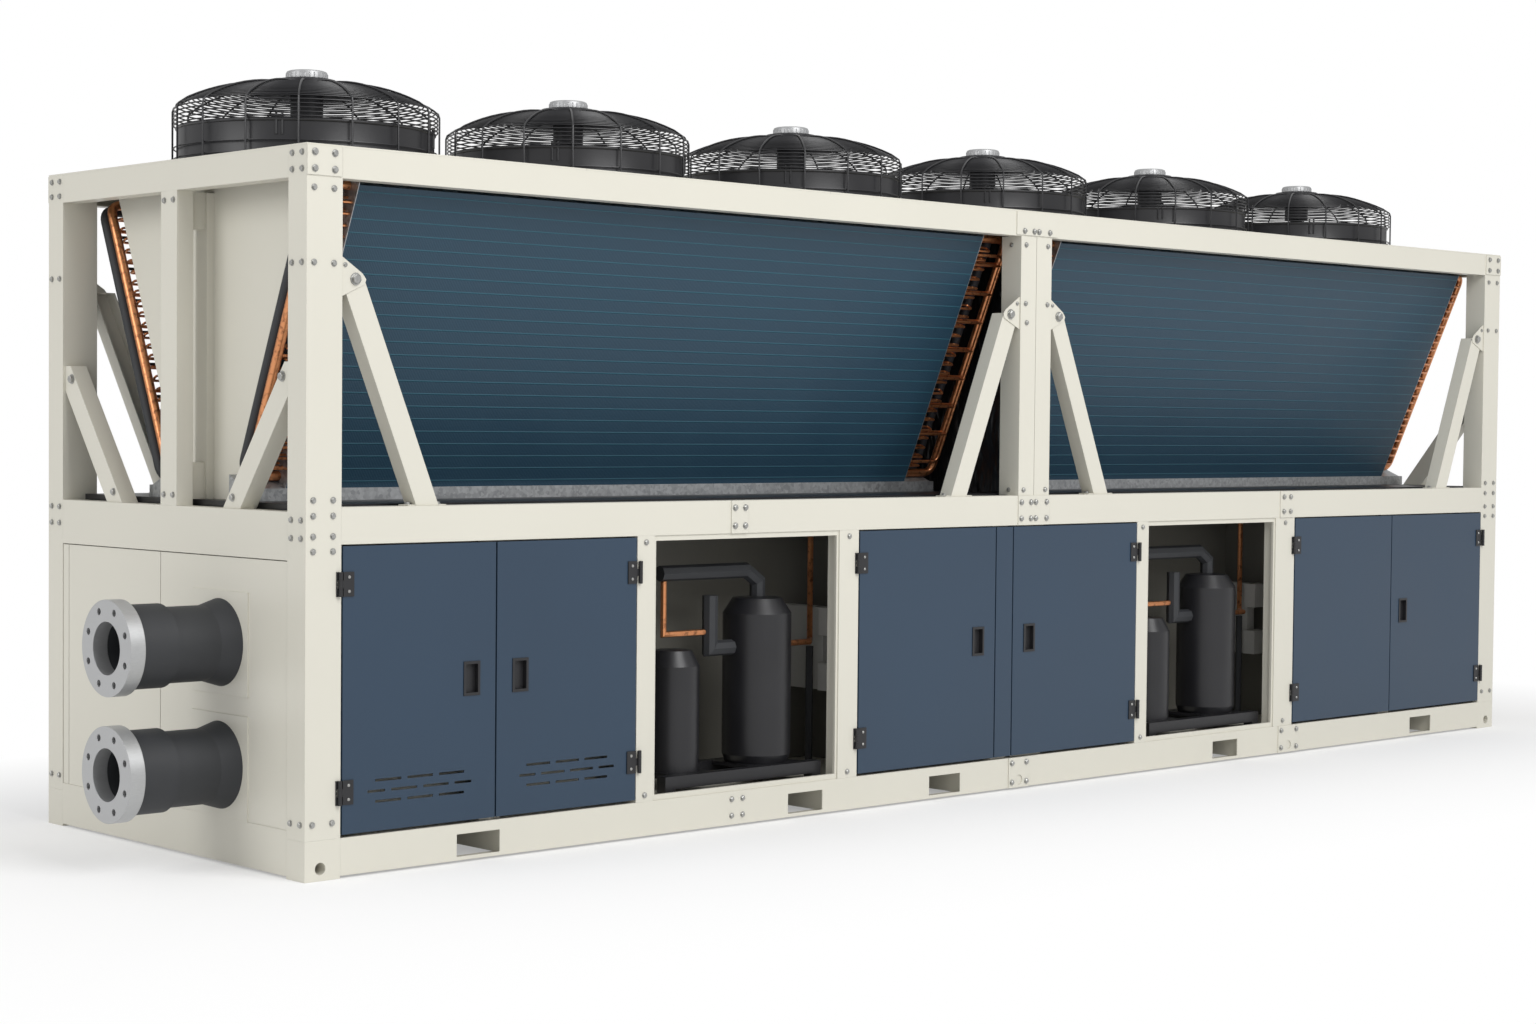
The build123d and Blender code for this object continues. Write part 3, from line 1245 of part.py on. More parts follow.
def main():
    os.makedirs("parts", exist_ok=True)
    make_base_rails()
    make_cross_members()
    make_corner_blocks()
    make_floor_pan()
    make_posts()
    make_jambs()
    make_mid_rails()
    make_top_rails()
    make_joint_plates()
    make_braces()
    make_fan_deck()
    make_fan_guards(make_fan_shrouds())
    make_fan_motors()
    for number, place in enumerate(FAN_PLACES, start=1):
        make_fan_rotor(number, place)
    make_coils()
    make_coil_end_plates()
    make_headers("black_headers", HEADER_RADIUS, 92, 10, 0.25)
    make_headers("copper_headers", COPPER_HEADER_RADIUS, 46, 55, 0.6)
    make_return_bends()
    make_coil_foot_rails()
    make_drain_tray()
    make_v_end_panels()
    for door in DOORS:
        make_door_panel(*door)
        make_door_fittings(*door)
    make_hinge_frame_leaves()
    make_centre_strip()
    make_back_panels()
    make_inner_panels()
    make_end_panels()
    make_pipe_plates()
    make_water_pipes()
    make_pipe_flanges()
    make_bay_frames()
    make_bay_liners()
    make_bay_skids()
    make_oil_vessels()
    make_compressors()
    make_black_bay_pipes()
    make_copper_bay_pipes()
    make_valve_boxes()


main()
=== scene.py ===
from math import cos, hypot, pi, radians, sin
from random import Random

import bmesh
import bpy
from mathutils import Matrix, Vector


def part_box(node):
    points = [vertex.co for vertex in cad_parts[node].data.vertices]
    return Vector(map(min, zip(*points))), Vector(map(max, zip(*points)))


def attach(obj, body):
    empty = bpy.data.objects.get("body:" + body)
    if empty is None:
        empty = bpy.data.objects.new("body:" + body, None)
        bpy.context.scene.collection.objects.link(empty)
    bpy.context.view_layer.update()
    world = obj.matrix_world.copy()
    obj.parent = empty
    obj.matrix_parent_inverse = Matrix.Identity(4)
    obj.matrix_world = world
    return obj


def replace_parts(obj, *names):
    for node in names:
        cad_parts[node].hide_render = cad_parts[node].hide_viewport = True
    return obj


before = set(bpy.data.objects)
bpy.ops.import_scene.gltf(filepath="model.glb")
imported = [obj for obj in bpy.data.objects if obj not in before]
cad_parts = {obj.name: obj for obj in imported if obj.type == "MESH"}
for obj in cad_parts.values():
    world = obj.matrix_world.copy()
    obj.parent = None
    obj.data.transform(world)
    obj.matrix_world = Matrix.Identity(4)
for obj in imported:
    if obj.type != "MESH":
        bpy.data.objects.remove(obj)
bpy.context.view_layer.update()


# The stand for the picture: a camera on a tripod at chest height, off the unit's left front corner,
# aimed along the long side, with a normal to long lens.
eye = Vector((-7.8056, -7.5774, 1.4062))
yaw, pitch, roll = radians(43.279), radians(-1.870), radians(0.5325)
ahead = Vector((sin(yaw) * cos(pitch), cos(yaw) * cos(pitch), sin(pitch)))
level_right = Vector((cos(yaw), -sin(yaw), 0))
level_up = level_right.cross(ahead)
right = cos(roll) * level_right + sin(roll) * level_up
up = cos(roll) * level_up - sin(roll) * level_right
camera = bpy.data.objects.new("camera", bpy.data.cameras.new("camera"))
camera.matrix_world = Matrix((right, up, -ahead)).transposed().to_4x4()
camera.location = eye
camera.data.lens = 61.77
camera.data.sensor_width = 36
camera.data.clip_end = 300
bpy.context.scene.collection.objects.link(camera)
bpy.context.scene.camera = camera
bpy.context.scene.view_settings.view_transform = "Standard"


class Wire:
    """An output in a finish's node tree. Sums of wires and numbers add Math nodes."""

    def __init__(self, finish, socket):
        self.finish = finish
        self.socket = socket

    def math(self, operation, *values):
        names = dict(enumerate((self, *values)))
        return self.finish.node("Math", {"operation": operation}, names)

    def __add__(self, other):
        return self.math("ADD", other)

    def __radd__(self, other):
        return self.math("ADD", other)

    def __sub__(self, other):
        return self.math("SUBTRACT", other)

    def __rsub__(self, other):
        return self.finish.node("Math", {"operation": "SUBTRACT"}, {0: other, 1: self})

    def __mul__(self, other):
        return self.math("MULTIPLY", other)

    def __rmul__(self, other):
        return self.math("MULTIPLY", other)

    def __truediv__(self, other):
        return self.math("DIVIDE", other)

    def fraction(self):
        return self.math("FRACT")

    def above(self, other):
        return self.math("GREATER_THAN", other)

    def power(self, other):
        return self.math("POWER", other)

    def clamp(self):
        return self.finish.node("Clamp", {}, {"Value": self})


class Finish:
    """A surface finish: a material and the one way to add nodes to it."""

    def __init__(self, name):
        self.material = bpy.data.materials.new(name)
        self.material.use_nodes = True
        self.tree = self.material.node_tree
        self.tree.nodes.clear()

    def node(self, kind, settings, values, output=0):
        """Adds a node: its settings first, a ramp's stops among them, then its socket values or links."""
        made = self.tree.nodes.new("ShaderNode" + kind)
        for key, value in settings.items():
            if key == "stops":
                for stop, (place, colour) in zip(made.color_ramp.elements, value):
                    stop.position = place
                    stop.color = (*colour, 1)
            else:
                setattr(made, key, value)
        for key, value in values.items():
            self.feed(made.inputs[key], value)
        return Wire(self, made.outputs[output]) if made.outputs else None

    def feed(self, socket, value):
        if isinstance(value, Wire):
            self.tree.links.new(value.socket, socket)
        elif isinstance(value, tuple) and len(value) == 3 and socket.type == "RGBA":
            socket.default_value = (*value, 1)
        else:
            socket.default_value = value

    def place(self, axis=None):
        """The point on the object in metres, or one of its three coordinates."""
        point = self.node("TexCoord", {}, {}, "Object")
        if axis is None:
            return point
        return self.node("SeparateXYZ", {}, {"Vector": point}, axis)

    def noise(self, scale, detail=3, rough=0.5, stretch=None):
        point = self.place()
        if stretch:
            point = self.node("VectorMath", {"operation": "MULTIPLY"}, {0: point, 1: stretch})
        values = {"Vector": point, "Scale": scale, "Detail": detail, "Roughness": rough}
        return self.node("TexNoise", {}, values, "Fac")

    def blend(self, share, first, second):
        settings = {"data_type": "RGBA"}
        return self.node("Mix", settings, {"Factor": share, 6: first, 7: second}, 2)

    def bump(self, height, distance, strength=1.0, soft_edge=0):
        values = {"Height": height, "Distance": distance, "Strength": strength}
        if soft_edge:
            values["Normal"] = self.node("Bevel", {"samples": 4}, {"Radius": soft_edge})
        return self.node("Bump", {}, values)

    def done(self, **values):
        """Ends the finish with its Principled shader. Socket names have _ for a space."""
        inputs = {key.replace("_", " "): value for key, value in values.items()}
        shader = self.node("BsdfPrincipled", {}, inputs)
        self.node("OutputMaterial", {}, {"Surface": shader})
        return self.material


def floor_finish():
    """A pale seamless sheet. It keeps the soft shadow by the unit and fades to pure white away from it."""
    finish = Finish("studio_floor")
    ray = finish.node("LightPath", {}, {}, "Is Camera Ray")
    gloss = finish.node("LightPath", {}, {}, "Is Glossy Ray")
    matte = finish.node("BsdfDiffuse", {}, {"Color": (0.88, 0.88, 0.88)})
    glow = finish.node("Emission", {}, {"Color": (1, 1, 1), "Strength": 1.0})
    aside = finish.place("Y").math("ABSOLUTE") - 0.9
    beyond = finish.place("X").math("ABSOLUTE") - 3.8
    fade = (aside.math("MAXIMUM", beyond) / 1.6).clamp()
    share = ((ray + gloss) * (0.35 + fade * 0.65)).clamp()
    mixed = finish.node("MixShader", {}, {0: share, 1: matte, 2: glow})
    finish.node("OutputMaterial", {}, {"Surface": mixed})
    return finish.material


floor_half = 60.0
floor_mesh = bpy.data.meshes.new("floor")
floor_corners = [(x * floor_half, y * floor_half, 0) for x, y in ((-1, -1), (1, -1), (1, 1), (-1, 1))]
floor_mesh.from_pydata(floor_corners, [], [(0, 1, 2, 3)])
floor_mesh.materials.append(floor_finish())
floor = bpy.data.objects.new("floor", floor_mesh)
bpy.context.scene.collection.objects.link(floor)

world = bpy.data.worlds.new("studio")
world.use_nodes = True
bpy.context.scene.world = world
sky = world.node_tree
sky_path = sky.nodes.new("ShaderNodeLightPath")
sky_seen = sky.nodes.new("ShaderNodeMath")
sky_seen.operation = "MAXIMUM"
sky_level = sky.nodes.new("ShaderNodeMapRange")
sky_level.inputs["To Min"].default_value = 0.62
sky_level.inputs["To Max"].default_value = 1.0
sky.links.new(sky_path.outputs["Is Camera Ray"], sky_seen.inputs[0])
sky.links.new(sky_path.outputs["Is Transmission Ray"], sky_seen.inputs[1])
sky.links.new(sky_seen.outputs[0], sky_level.inputs["Value"])
sky.links.new(sky_level.outputs[0], sky.nodes["Background"].inputs["Strength"])
sky.nodes["Background"].inputs["Color"].default_value = (1, 1, 1, 1)


def lamp(name, place, target, size, power):
    """A square soft box at a place, turned to a target, both in metres."""
    light = bpy.data.lights.new(name, "AREA")
    light.size = size
    light.energy = power
    made = bpy.data.objects.new(name, light)
    made.location = place
    made.rotation_euler = (Vector(target) - Vector(place)).to_track_quat("-Z", "Y").to_euler()
    bpy.context.scene.collection.objects.link(made)


lamp("key_box", (-1.5, -10.0, 8.5), (0, 0, 1.2), 7.0, 900)
lamp("end_box", (-12.0, 1.0, 6.0), (-2.5, 0, 1.2), 5.0, 260)


# Folded steel frame, powder coated in cream: rails, posts, jambs, deck, plates and the cream panels.
# The coat is slightly uneven, fine grained, and rounds off over the folded edges.
FOLD_RADIUS = 0.002
CREAM = (0.665, 0.645, 0.565)


def cream_coat(name, painted_shade_level=1.0):
    finish = Finish(name)
    cloud = finish.noise(1.7, 4)
    grain = finish.noise(900, 2)
    # A level below 1 darkens the cream into a shaded copy of it, which is painted shade.
    low = tuple(c * painted_shade_level * 0.965 for c in CREAM)
    high = tuple(c * painted_shade_level * 1.02 for c in CREAM)
    return finish.done(
        Base_Color=finish.blend(cloud, low, high),
        Roughness=cloud * 0.12 + 0.34,
        Normal=finish.bump(grain, 0.0002, 0.35, FOLD_RADIUS),
    )


def coat(material, *names):
    """Gives CAD nodes their finish."""
    for name in names:
        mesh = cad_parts[name].data
        mesh.materials.clear()
        mesh.materials.append(material)


cream = cream_coat("cream_coat")
coat(
    cream, "base_rails", "cross_members", "corner_blocks", "floor_pan", "posts", "jambs", "mid_rails",
    "top_rails", "joint_plates", "braces", "fan_deck", "v_end_panels", "end_panels", "inner_panels",
    "bay_frames", "pipe_plates",
)
# The bay liners get the cream coat darkened to 0.30, as painted shade inside the bays.
coat(cream_coat("bay_wall_painted_shade_coat", 0.30), "bay_liners")


# Doors, the fixed strip and the back panels: folded trays, powder coated in navy blue.
NAVY = (0.021, 0.045, 0.080)


def navy_coat():
    finish = Finish("navy_coat")
    cloud = finish.noise(2.2, 4)
    grain = finish.noise(800, 2)
    low = tuple(c * 0.92 for c in NAVY)
    high = tuple(c * 1.08 for c in NAVY)
    return finish.done(
        Base_Color=finish.blend(cloud, low, high),
        Roughness=cloud * 0.14 + 0.33,
        Normal=finish.bump(grain, 0.0002, 0.4, FOLD_RADIUS),
    )


navy = navy_coat()
door_numbers = range(1, 7)
coat(navy, "centre_strip", "back_panels", *[f"door_{n}_panel" for n in door_numbers])


# Pulls and hinges: moulded black plastic and black-oxide steel.
def black_plastic():
    finish = Finish("black_plastic")
    grain = finish.noise(1500, 2)
    return finish.done(
        Base_Color=(0.016, 0.016, 0.018),
        Roughness=grain * 0.1 + 0.38,
        Normal=finish.bump(grain, 0.0001, 0.5, 0.001),
    )


plastic = black_plastic()
coat(plastic, "hinge_frame_leaves", *[f"door_{n}_fittings" for n in door_numbers])


# Coils: blue coated aluminium fins on level tubes, edged by galvanised tube sheets.
COIL_TUBE_ROWS = 24
coil_low, coil_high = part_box("coils")


def fin_coat():
    finish = Finish("fin_coat")
    height = finish.place("Z")
    along = finish.place("X")
    row = ((height - coil_low.z) * (COIL_TUBE_ROWS / (coil_high.z - coil_low.z))).fraction()
    line = (1 - (row - 0.5).math("ABSOLUTE") * 14).clamp()
    fins = (along * 160).fraction()
    edge = (fins - 0.5).math("ABSOLUTE") * 2
    cloud = finish.noise(3.0, 5, 0.6)
    deep = finish.blend(cloud, (0.011, 0.043, 0.078), (0.017, 0.060, 0.100))
    # Painted shade: the blue darkens towards each fin's edge, in the gaps between the fins.
    fin_gap_painted_shade = finish.blend(edge * 0.35, deep, (0.008, 0.026, 0.046))
    return finish.done(
        Base_Color=finish.blend(line * 0.75, fin_gap_painted_shade, (0.028, 0.140, 0.190)),
        Roughness=cloud * 0.2 + 0.4,
        Normal=finish.bump(edge * 0.3 + line, 0.002, 0.6),
    )


def galvanised():
    finish = Finish("galvanised")
    point = finish.place()
    spangle = finish.node("TexVoronoi", {"feature": "F1"}, {"Vector": point, "Scale": 90}, "Color")
    grey = finish.node("SeparateXYZ", {}, {"Vector": spangle}, "X")
    return finish.done(
        Base_Color=finish.blend(grey, (0.30, 0.31, 0.32), (0.46, 0.47, 0.48)),
        Metallic=0.75,
        Roughness=grey * 0.15 + 0.35,
    )


coat(fin_coat(), "coils")
zinc = galvanised()
coat(zinc, "coil_end_plates", "coil_foot_rails")


# Copper tube: bends, headers and bay pipes, bright with brown heat marks.
def copper_tube():
    finish = Finish("copper_tube")
    cloud = finish.noise(22, 4, 0.6)
    mark = (finish.noise(60, 3) - 0.52) * 6
    bright = finish.blend(cloud, (0.62, 0.24, 0.10), (0.78, 0.36, 0.17))
    return finish.done(
        Base_Color=finish.blend(mark.clamp() * 0.7, bright, (0.16, 0.055, 0.028)),
        Metallic=0.9,
        Roughness=cloud * 0.2 + 0.24,
    )


copper = copper_tube()
coat(copper, "copper_bay_pipes")


# Dark foam insulation of the water pipes, the headers and the bay pipes.
def foam():
    finish = Finish("foam_insulation")
    cloud = finish.noise(9, 4)
    grain = finish.noise(500, 3)
    return finish.done(
        Base_Color=finish.blend(cloud, (0.020, 0.022, 0.025), (0.036, 0.038, 0.043)),
        Roughness=cloud * 0.15 + 0.55,
        Normal=finish.bump(grain, 0.0006, 0.5),
    )


insulation = foam()
coat(insulation, "water_pipes", "black_bay_pipes")


# Water flanges: turned aluminium.
def turned_metal():
    finish = Finish("turned_metal")
    grain = finish.noise(300, 3, 0.5, (0.2, 1, 1))
    return finish.done(
        Base_Color=finish.blend(grain, (0.40, 0.405, 0.41), (0.50, 0.505, 0.51)),
        Metallic=0.6,
        Roughness=grain * 0.2 + 0.35,
        Normal=finish.bump(grain, 0.0002, 0.4, 0.003),
    )


aluminium = turned_metal()
coat(aluminium, "pipe_flanges", "fan_motors")


# Black powder-coated steel: shrouds, guards, vessels, skids and the tray under the coils.
def black_coat():
    finish = Finish("black_coat")
    cloud = finish.noise(6, 4)
    grain = finish.noise(700, 2)
    return finish.done(
        Base_Color=finish.blend(cloud, (0.010, 0.010, 0.012), (0.018, 0.018, 0.021)),
        Roughness=cloud * 0.12 + 0.30,
        Normal=finish.bump(grain, 0.0002, 0.35, 0.001),
    )


black = black_coat()
coat(black, "drain_tray", "bay_skids", "oil_vessels", "compressors", "fan_shrouds", "fan_guards")


# Fan shrouds: rolled black sheet rings on a foot flange, with a bead rolled round the upper edge.
# Each stands on the deck and is bolted down through its flange.
FAN_COUNT = 6
ROUND_STEPS = 96
SHROUD_BEAD = 0.006
deck_low, deck_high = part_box("fan_deck")
shroud_low, shroud_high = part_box("fan_shrouds")
guard_low, guard_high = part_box("fan_guards")
fan_pitch = (shroud_high.x - shroud_low.x - (shroud_high.y - shroud_low.y)) / (FAN_COUNT - 1)
fan_centres = [Vector(((i - (FAN_COUNT - 1) / 2) * fan_pitch, 0, 0)) for i in range(FAN_COUNT)]
flange_radius = (shroud_high.y - shroud_low.y) / 2
shroud_radius = flange_radius - 0.027
throat_radius = shroud_radius - 0.008


class Shape:
    """Points and faces in metres, gathered for one mesh."""

    def __init__(self):
        self.points = []
        self.faces = []

    def add(self, points, faces):
        first = len(self.points)
        self.points.extend(points)
        self.faces.extend([tuple(first + i for i in face) for face in faces])

    def grid(self, rows, around=True, closed=False):
        """Skins rows of points, each row a ring of as many points. closed joins the last row to the first."""
        count = len(rows[0])
        faces = []
        for i in range(len(rows) if closed else len(rows) - 1):
            a, b = i * count, (i + 1) % len(rows) * count
            for j in range(count if around else count - 1):
                k = (j + 1) % count
                faces.append((a + j, a + k, b + k, b + j))
        self.add([point for row in rows for point in row], faces)

    def cap(self, ring):
        self.add(ring, [tuple(range(len(ring)))])

    def tube(self, path, radius, sides=6, closed=False):
        """A round wire or pipe along a path of points."""
        rows = []
        count = len(path)
        side = None
        for i, point in enumerate(path):
            before = path[(i - 1) % count] if closed or i else point
            after = path[(i + 1) % count] if closed or i < count - 1 else point
            ahead = (after - before).normalized()
            if side is None:
                side = ahead.orthogonal().normalized()
            side = (side - ahead * side.dot(ahead)).normalized()
            other = ahead.cross(side)
            turns = [2 * pi * j / sides for j in range(sides)]
            rows.append([point + (side * cos(t) + other * sin(t)) * radius for t in turns])
        self.grid(rows, closed=closed)
        if not closed:
            self.cap(rows[0][::-1])
            self.cap(rows[-1])

    def turned(self, profile, centre, axis="Z", steps=ROUND_STEPS, closed=True):
        """A profile of (radius, height) pairs turned round an axis through a centre."""
        rows = []
        for radius, height in profile:
            row = []
            for j in range(steps):
                turn = 2 * pi * j / steps
                a, b = radius * cos(turn), radius * sin(turn)
                offset = Vector((a, b, height)) if axis == "Z" else Vector((height, a, b))
                row.append(centre + offset)
            rows.append(row)
        self.grid(rows, closed=closed)

    def peg(self, base, out, profile, sides=16):
        """A boss that stands on base and points out, from (radius, height) pairs, closed at its end."""
        side = out.orthogonal().normalized()
        other = out.cross(side)
        turns = [2 * pi * i / sides for i in range(sides)]
        rows = []
        for radius, height in profile:
            rows.append([base + out * height + (side * cos(t) + other * sin(t)) * radius for t in turns])
        self.grid(rows)
        self.cap(rows[-1])

    def bolt(self, base, out, size=0.009):
        """A washer and a hexagon head."""
        out = Vector(out)
        self.peg(Vector(base), out, [(size * 1.3, 0), (size * 1.3, size * 0.2), (size, size * 0.22)], 14)
        head = [(size, 0), (size, size * 0.6), (size * 0.8, size * 0.74)]
        self.peg(Vector(base) + out * size * 0.2, out, head, 6)

    def block(self, low, high):
        xs, ys, zs = zip(low, high)
        corners = [Vector((x, y, z)) for x in xs for y in ys for z in zs]
        sides = ((0, 1, 3, 2), (4, 6, 7, 5), (0, 4, 5, 1), (2, 3, 7, 6), (0, 2, 6, 4), (1, 5, 7, 3))
        self.add(corners, sides)

    def piece(self, name, material, body="housing", smooth=0.6, bevel=0):
        """Makes the mesh an object that rides on a body. Edges flatter than smooth are shaded round."""
        mesh = bpy.data.meshes.new(name)
        mesh.from_pydata(self.points, [], self.faces)
        mesh.materials.append(material)
        made = bpy.data.objects.new(name, mesh)
        bpy.context.scene.collection.objects.link(made)
        work = bmesh.new()
        work.from_mesh(mesh)
        bmesh.ops.recalc_face_normals(work, faces=work.faces)
        work.to_mesh(mesh)
        work.free()
        mesh.shade_smooth()
        mesh.set_sharp_from_angle(angle=smooth)
        if bevel:
            cut = made.modifiers.new("bevel", "BEVEL")
            cut.width = bevel
            cut.segments = 2
            cut.limit_method = "ANGLE"
        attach(made, body)
        return made


def ring_path(centre, radius, height, steps=ROUND_STEPS):
    turns = [2 * pi * i / steps for i in range(steps)]
    return [centre + Vector((radius * cos(t), radius * sin(t), height)) for t in turns]


shrouds = Shape()
floor_z = deck_high.z
for centre in fan_centres:
    bead_z = shroud_high.z - SHROUD_BEAD
    bead = [
        (shroud_radius + SHROUD_BEAD * cos(t), bead_z + SHROUD_BEAD * sin(t))
        for t in (-0.9, -0.3, 0.3, 0.9, pi / 2)
    ]
    shrouds.turned([
        (throat_radius, floor_z),
        (flange_radius, floor_z),
        (flange_radius, floor_z + 0.004),
        (shroud_radius + 0.012, floor_z + 0.004),
        (shroud_radius + 0.003, floor_z + 0.008),
        (shroud_radius, floor_z + 0.016),
        (shroud_radius, bead_z - SHROUD_BEAD),
        *bead,
        (throat_radius, shroud_high.z - 0.004),
        (throat_radius - 0.004, shroud_high.z - 0.03),
    ], centre)
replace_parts(shrouds.piece("shroud_rings", black), "fan_shrouds")


# Fan guards: welded wire baskets, black coated. Upright ribs stand outside the shroud and run on over
# the dome to the motor's collar, tied by close rings above the shroud and thin ones round it.
RIB_COUNT = 16
WIRE = 0.0035
RING_WIRE = 0.0026
RING_STEP = 0.0135
shoulder_radius = (guard_high.y - guard_low.y) / 2 - WIRE
COLLAR_RADIUS = 0.102
crown = guard_high.z - 0.014
shoulder = crown - 0.087
dome_rise = crown - shoulder


def dome_height(radius):
    """Height of the dome over a radius: it rounds down to the shoulder."""
    share = (radius - COLLAR_RADIUS) / (shoulder_radius - COLLAR_RADIUS)
    return crown - dome_rise * share ** 2.2


guards = Shape()
for centre in fan_centres:
    for i in range(RIB_COUNT):
        turn = 2 * pi * (i + 0.37) / RIB_COUNT
        out = Vector((cos(turn), sin(turn), 0))
        rib = [centre + out * shoulder_radius + Vector((0, 0, z)) for z in (floor_z + 0.002, shoulder - 0.016)]
        rib.append(centre + out * (shoulder_radius - 0.004) + Vector((0, 0, shoulder - 0.003)))
        for j in range(1, 11):
            radius = shoulder_radius + (COLLAR_RADIUS - 0.01 - shoulder_radius) * j / 10
            rib.append(centre + out * radius + Vector((0, 0, dome_height(max(radius, COLLAR_RADIUS)))))
        guards.tube(rib, WIRE, 6)
    ring_radius = shoulder_radius - WIRE - RING_WIRE
    count = int((shoulder - shroud_high.z) / RING_STEP)
    heights = [shoulder - 0.012 - i * RING_STEP for i in range(count)]
    for height in heights + [floor_z + 0.025, floor_z + 0.062]:
        guards.tube(ring_path(centre, ring_radius, height), RING_WIRE, 5, closed=True)
    radius = shoulder_radius - RING_STEP
    while radius > COLLAR_RADIUS + RING_STEP:
        guards.tube(ring_path(centre, radius, dome_height(radius) - WIRE - RING_WIRE), RING_WIRE, 5, closed=True)
        radius -= RING_STEP
    guards.turned([
        (0.060, crown),
        (COLLAR_RADIUS, crown),
        (COLLAR_RADIUS, crown + 0.010),
        (COLLAR_RADIUS - 0.004, crown + 0.014),
        (0.060, crown + 0.014),
    ], centre)
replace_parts(guards.piece("wire_guards", black), "fan_guards")


# Fan motors: cast aluminium caps with a ring of low cooling ribs, over a black neck that goes down
# through the guard's collar. Its shaft ends just above the bottom of the hub's bore.
CAP_RIBS = 28
SHAFT_GAP = 0.001
motor_low, motor_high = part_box("fan_motors")
cap_radius = (motor_high.y - motor_low.y) / 2
shaft_low = motor_low.z + SHAFT_GAP
caps = Shape()
necks = Shape()
for centre in fan_centres:
    top = motor_high.z
    low = crown + 0.014
    caps.turned([
        (0.01, low),
        (cap_radius * 0.96, low),
        (cap_radius, low + 0.004),
        (cap_radius, top - 0.010),
        (cap_radius - 0.003, top - 0.003),
        (cap_radius - 0.010, top),
        (cap_radius * 0.62, top),
        (cap_radius * 0.58, top - 0.004),
        (0.01, top - 0.004),
    ], centre)
    for i in range(CAP_RIBS):
        turn = 2 * pi * i / CAP_RIBS
        out = Vector((cos(turn), sin(turn), 0))
        start = centre + out * (cap_radius - 0.001)
        caps.tube([start + Vector((0, 0, low + 0.006)), start + Vector((0, 0, top - 0.010))], 0.0022, 5)
    necks.turned([(0.001, shaft_low), (0.02, shaft_low), (0.02, low - 0.14), (0.055, low - 0.13), (0.055, low)],
                 centre, closed=False, steps=48)
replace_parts(caps.piece("motor_caps", aluminium), "fan_motors")
necks.piece("motor_necks", black)


# Rotors: black moulded hubs with five swept blades. The blades are steep at the root, flatter and thin
# at the tip, and run inside the shroud.
BLADES = 5
BLADE_STEPS = 12
CHORD_STEPS = 8
HUB_RADIUS = 0.110
rotor_low, rotor_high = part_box("fan_rotor_1")
blade_tip = throat_radius - 0.012
hub_centre = (rotor_low.z + rotor_high.z) / 2


def blade_row(centre, turn, share):
    """The blade's section as a ring of points, at a share of the way from the root to the tip."""
    radius = 0.09 + (blade_tip - 0.09) * share
    angle = radians(37 - 17 * share)
    chord = 0.135 + 0.115 * share ** 0.7
    sweep = turn + 0.32 * share ** 1.6
    row = []
    places = [i / CHORD_STEPS - 0.5 for i in range(CHORD_STEPS + 1)]
    for s, face in [(s, 1) for s in places] + [(s, -1) for s in places[::-1]]:
        round_off = 1 - 4 * s * s
        height = s * chord * sin(angle) + 0.014 * round_off + face * (0.0012 + 0.0024 * round_off * (1 - share / 2))
        around = sweep + s * chord * cos(angle) / radius
        row.append(centre + Vector((radius * cos(around), radius * sin(around), hub_centre + height - 0.006)))
    return row


for n, centre in enumerate(fan_centres, start=1):
    rotor = Shape()
    rotor.turned([
        (0.0205, hub_centre),
        (0.0205, rotor_high.z - 0.002),
        (0.075, rotor_high.z - 0.002),
        (HUB_RADIUS - 0.012, rotor_high.z - 0.004),
        (HUB_RADIUS, rotor_high.z - 0.016),
        (HUB_RADIUS, rotor_low.z + 0.004),
        (HUB_RADIUS - 0.006, rotor_low.z),
        (0.001, rotor_low.z),
        (0.001, hub_centre),
    ], centre, steps=48)
    for i in range(BLADES):
        rows = [blade_row(centre, 2 * pi * i / BLADES + 0.2 * n, j / BLADE_STEPS) for j in range(BLADE_STEPS + 1)]
        rotor.grid(rows)
        rotor.cap(rows[0])
        rotor.cap(rows[-1])
    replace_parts(rotor.piece(f"rotor_{n}", plastic, body=f"fan_{n}"), f"fan_rotor_{n}")


# Coil slope: places beside the coils' ends, from distances down the face and in through the coil. Each
# end has its tube sheet's face, the way out from it, and how far its bends, black and copper pipes reach.
SLOPE_TOP = Vector((0, -0.700, 2.145))
SLOPE_FOOT = Vector((0, -0.290, 1.190))
SLOPE_LENGTH = (SLOPE_FOOT - SLOPE_TOP).length
slope_down = (SLOPE_FOOT - SLOPE_TOP) / SLOPE_LENGTH
slope_in = Vector((0, -slope_down.z, slope_down.y))
sheet_low, sheet_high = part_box("coil_end_plates")
LEFT_INNER = -0.197
RIGHT_INNER = 0.257
OUTER_BLACK_DEPTH = {-1: 0.092, 1: 0.010}
COIL_ENDS = (
    (sheet_low.x, -1, 0.075, 0.110, 0.110),
    (LEFT_INNER, 1, 0.082, 0.128, 0.180),
    (RIGHT_INNER, -1, 0.062, 0.092, 0.140),
    (sheet_high.x, 1, 0.075, 0.110, 0.110),
)


def beside(x, side, down, depth):
    """A point at x, on the front coil (side -1) or the back one (1)."""
    point = SLOPE_TOP + slope_down * down + slope_in * depth
    return Vector((x, -side * point.y, point.z))


def soft_path(points, radius, steps=6):
    """A path with its corners rounded off."""
    path = [points[0]]
    for before, corner, after in zip(points, points[1:], points[2:]):
        start = corner + (before - corner).normalized() * radius
        end = corner + (after - corner).normalized() * radius
        for i in range(steps + 1):
            t = i / steps
            path.append(start * (1 - t) ** 2 + corner * (2 * t * (1 - t)) + end * t ** 2)
    path.append(points[-1])
    return path


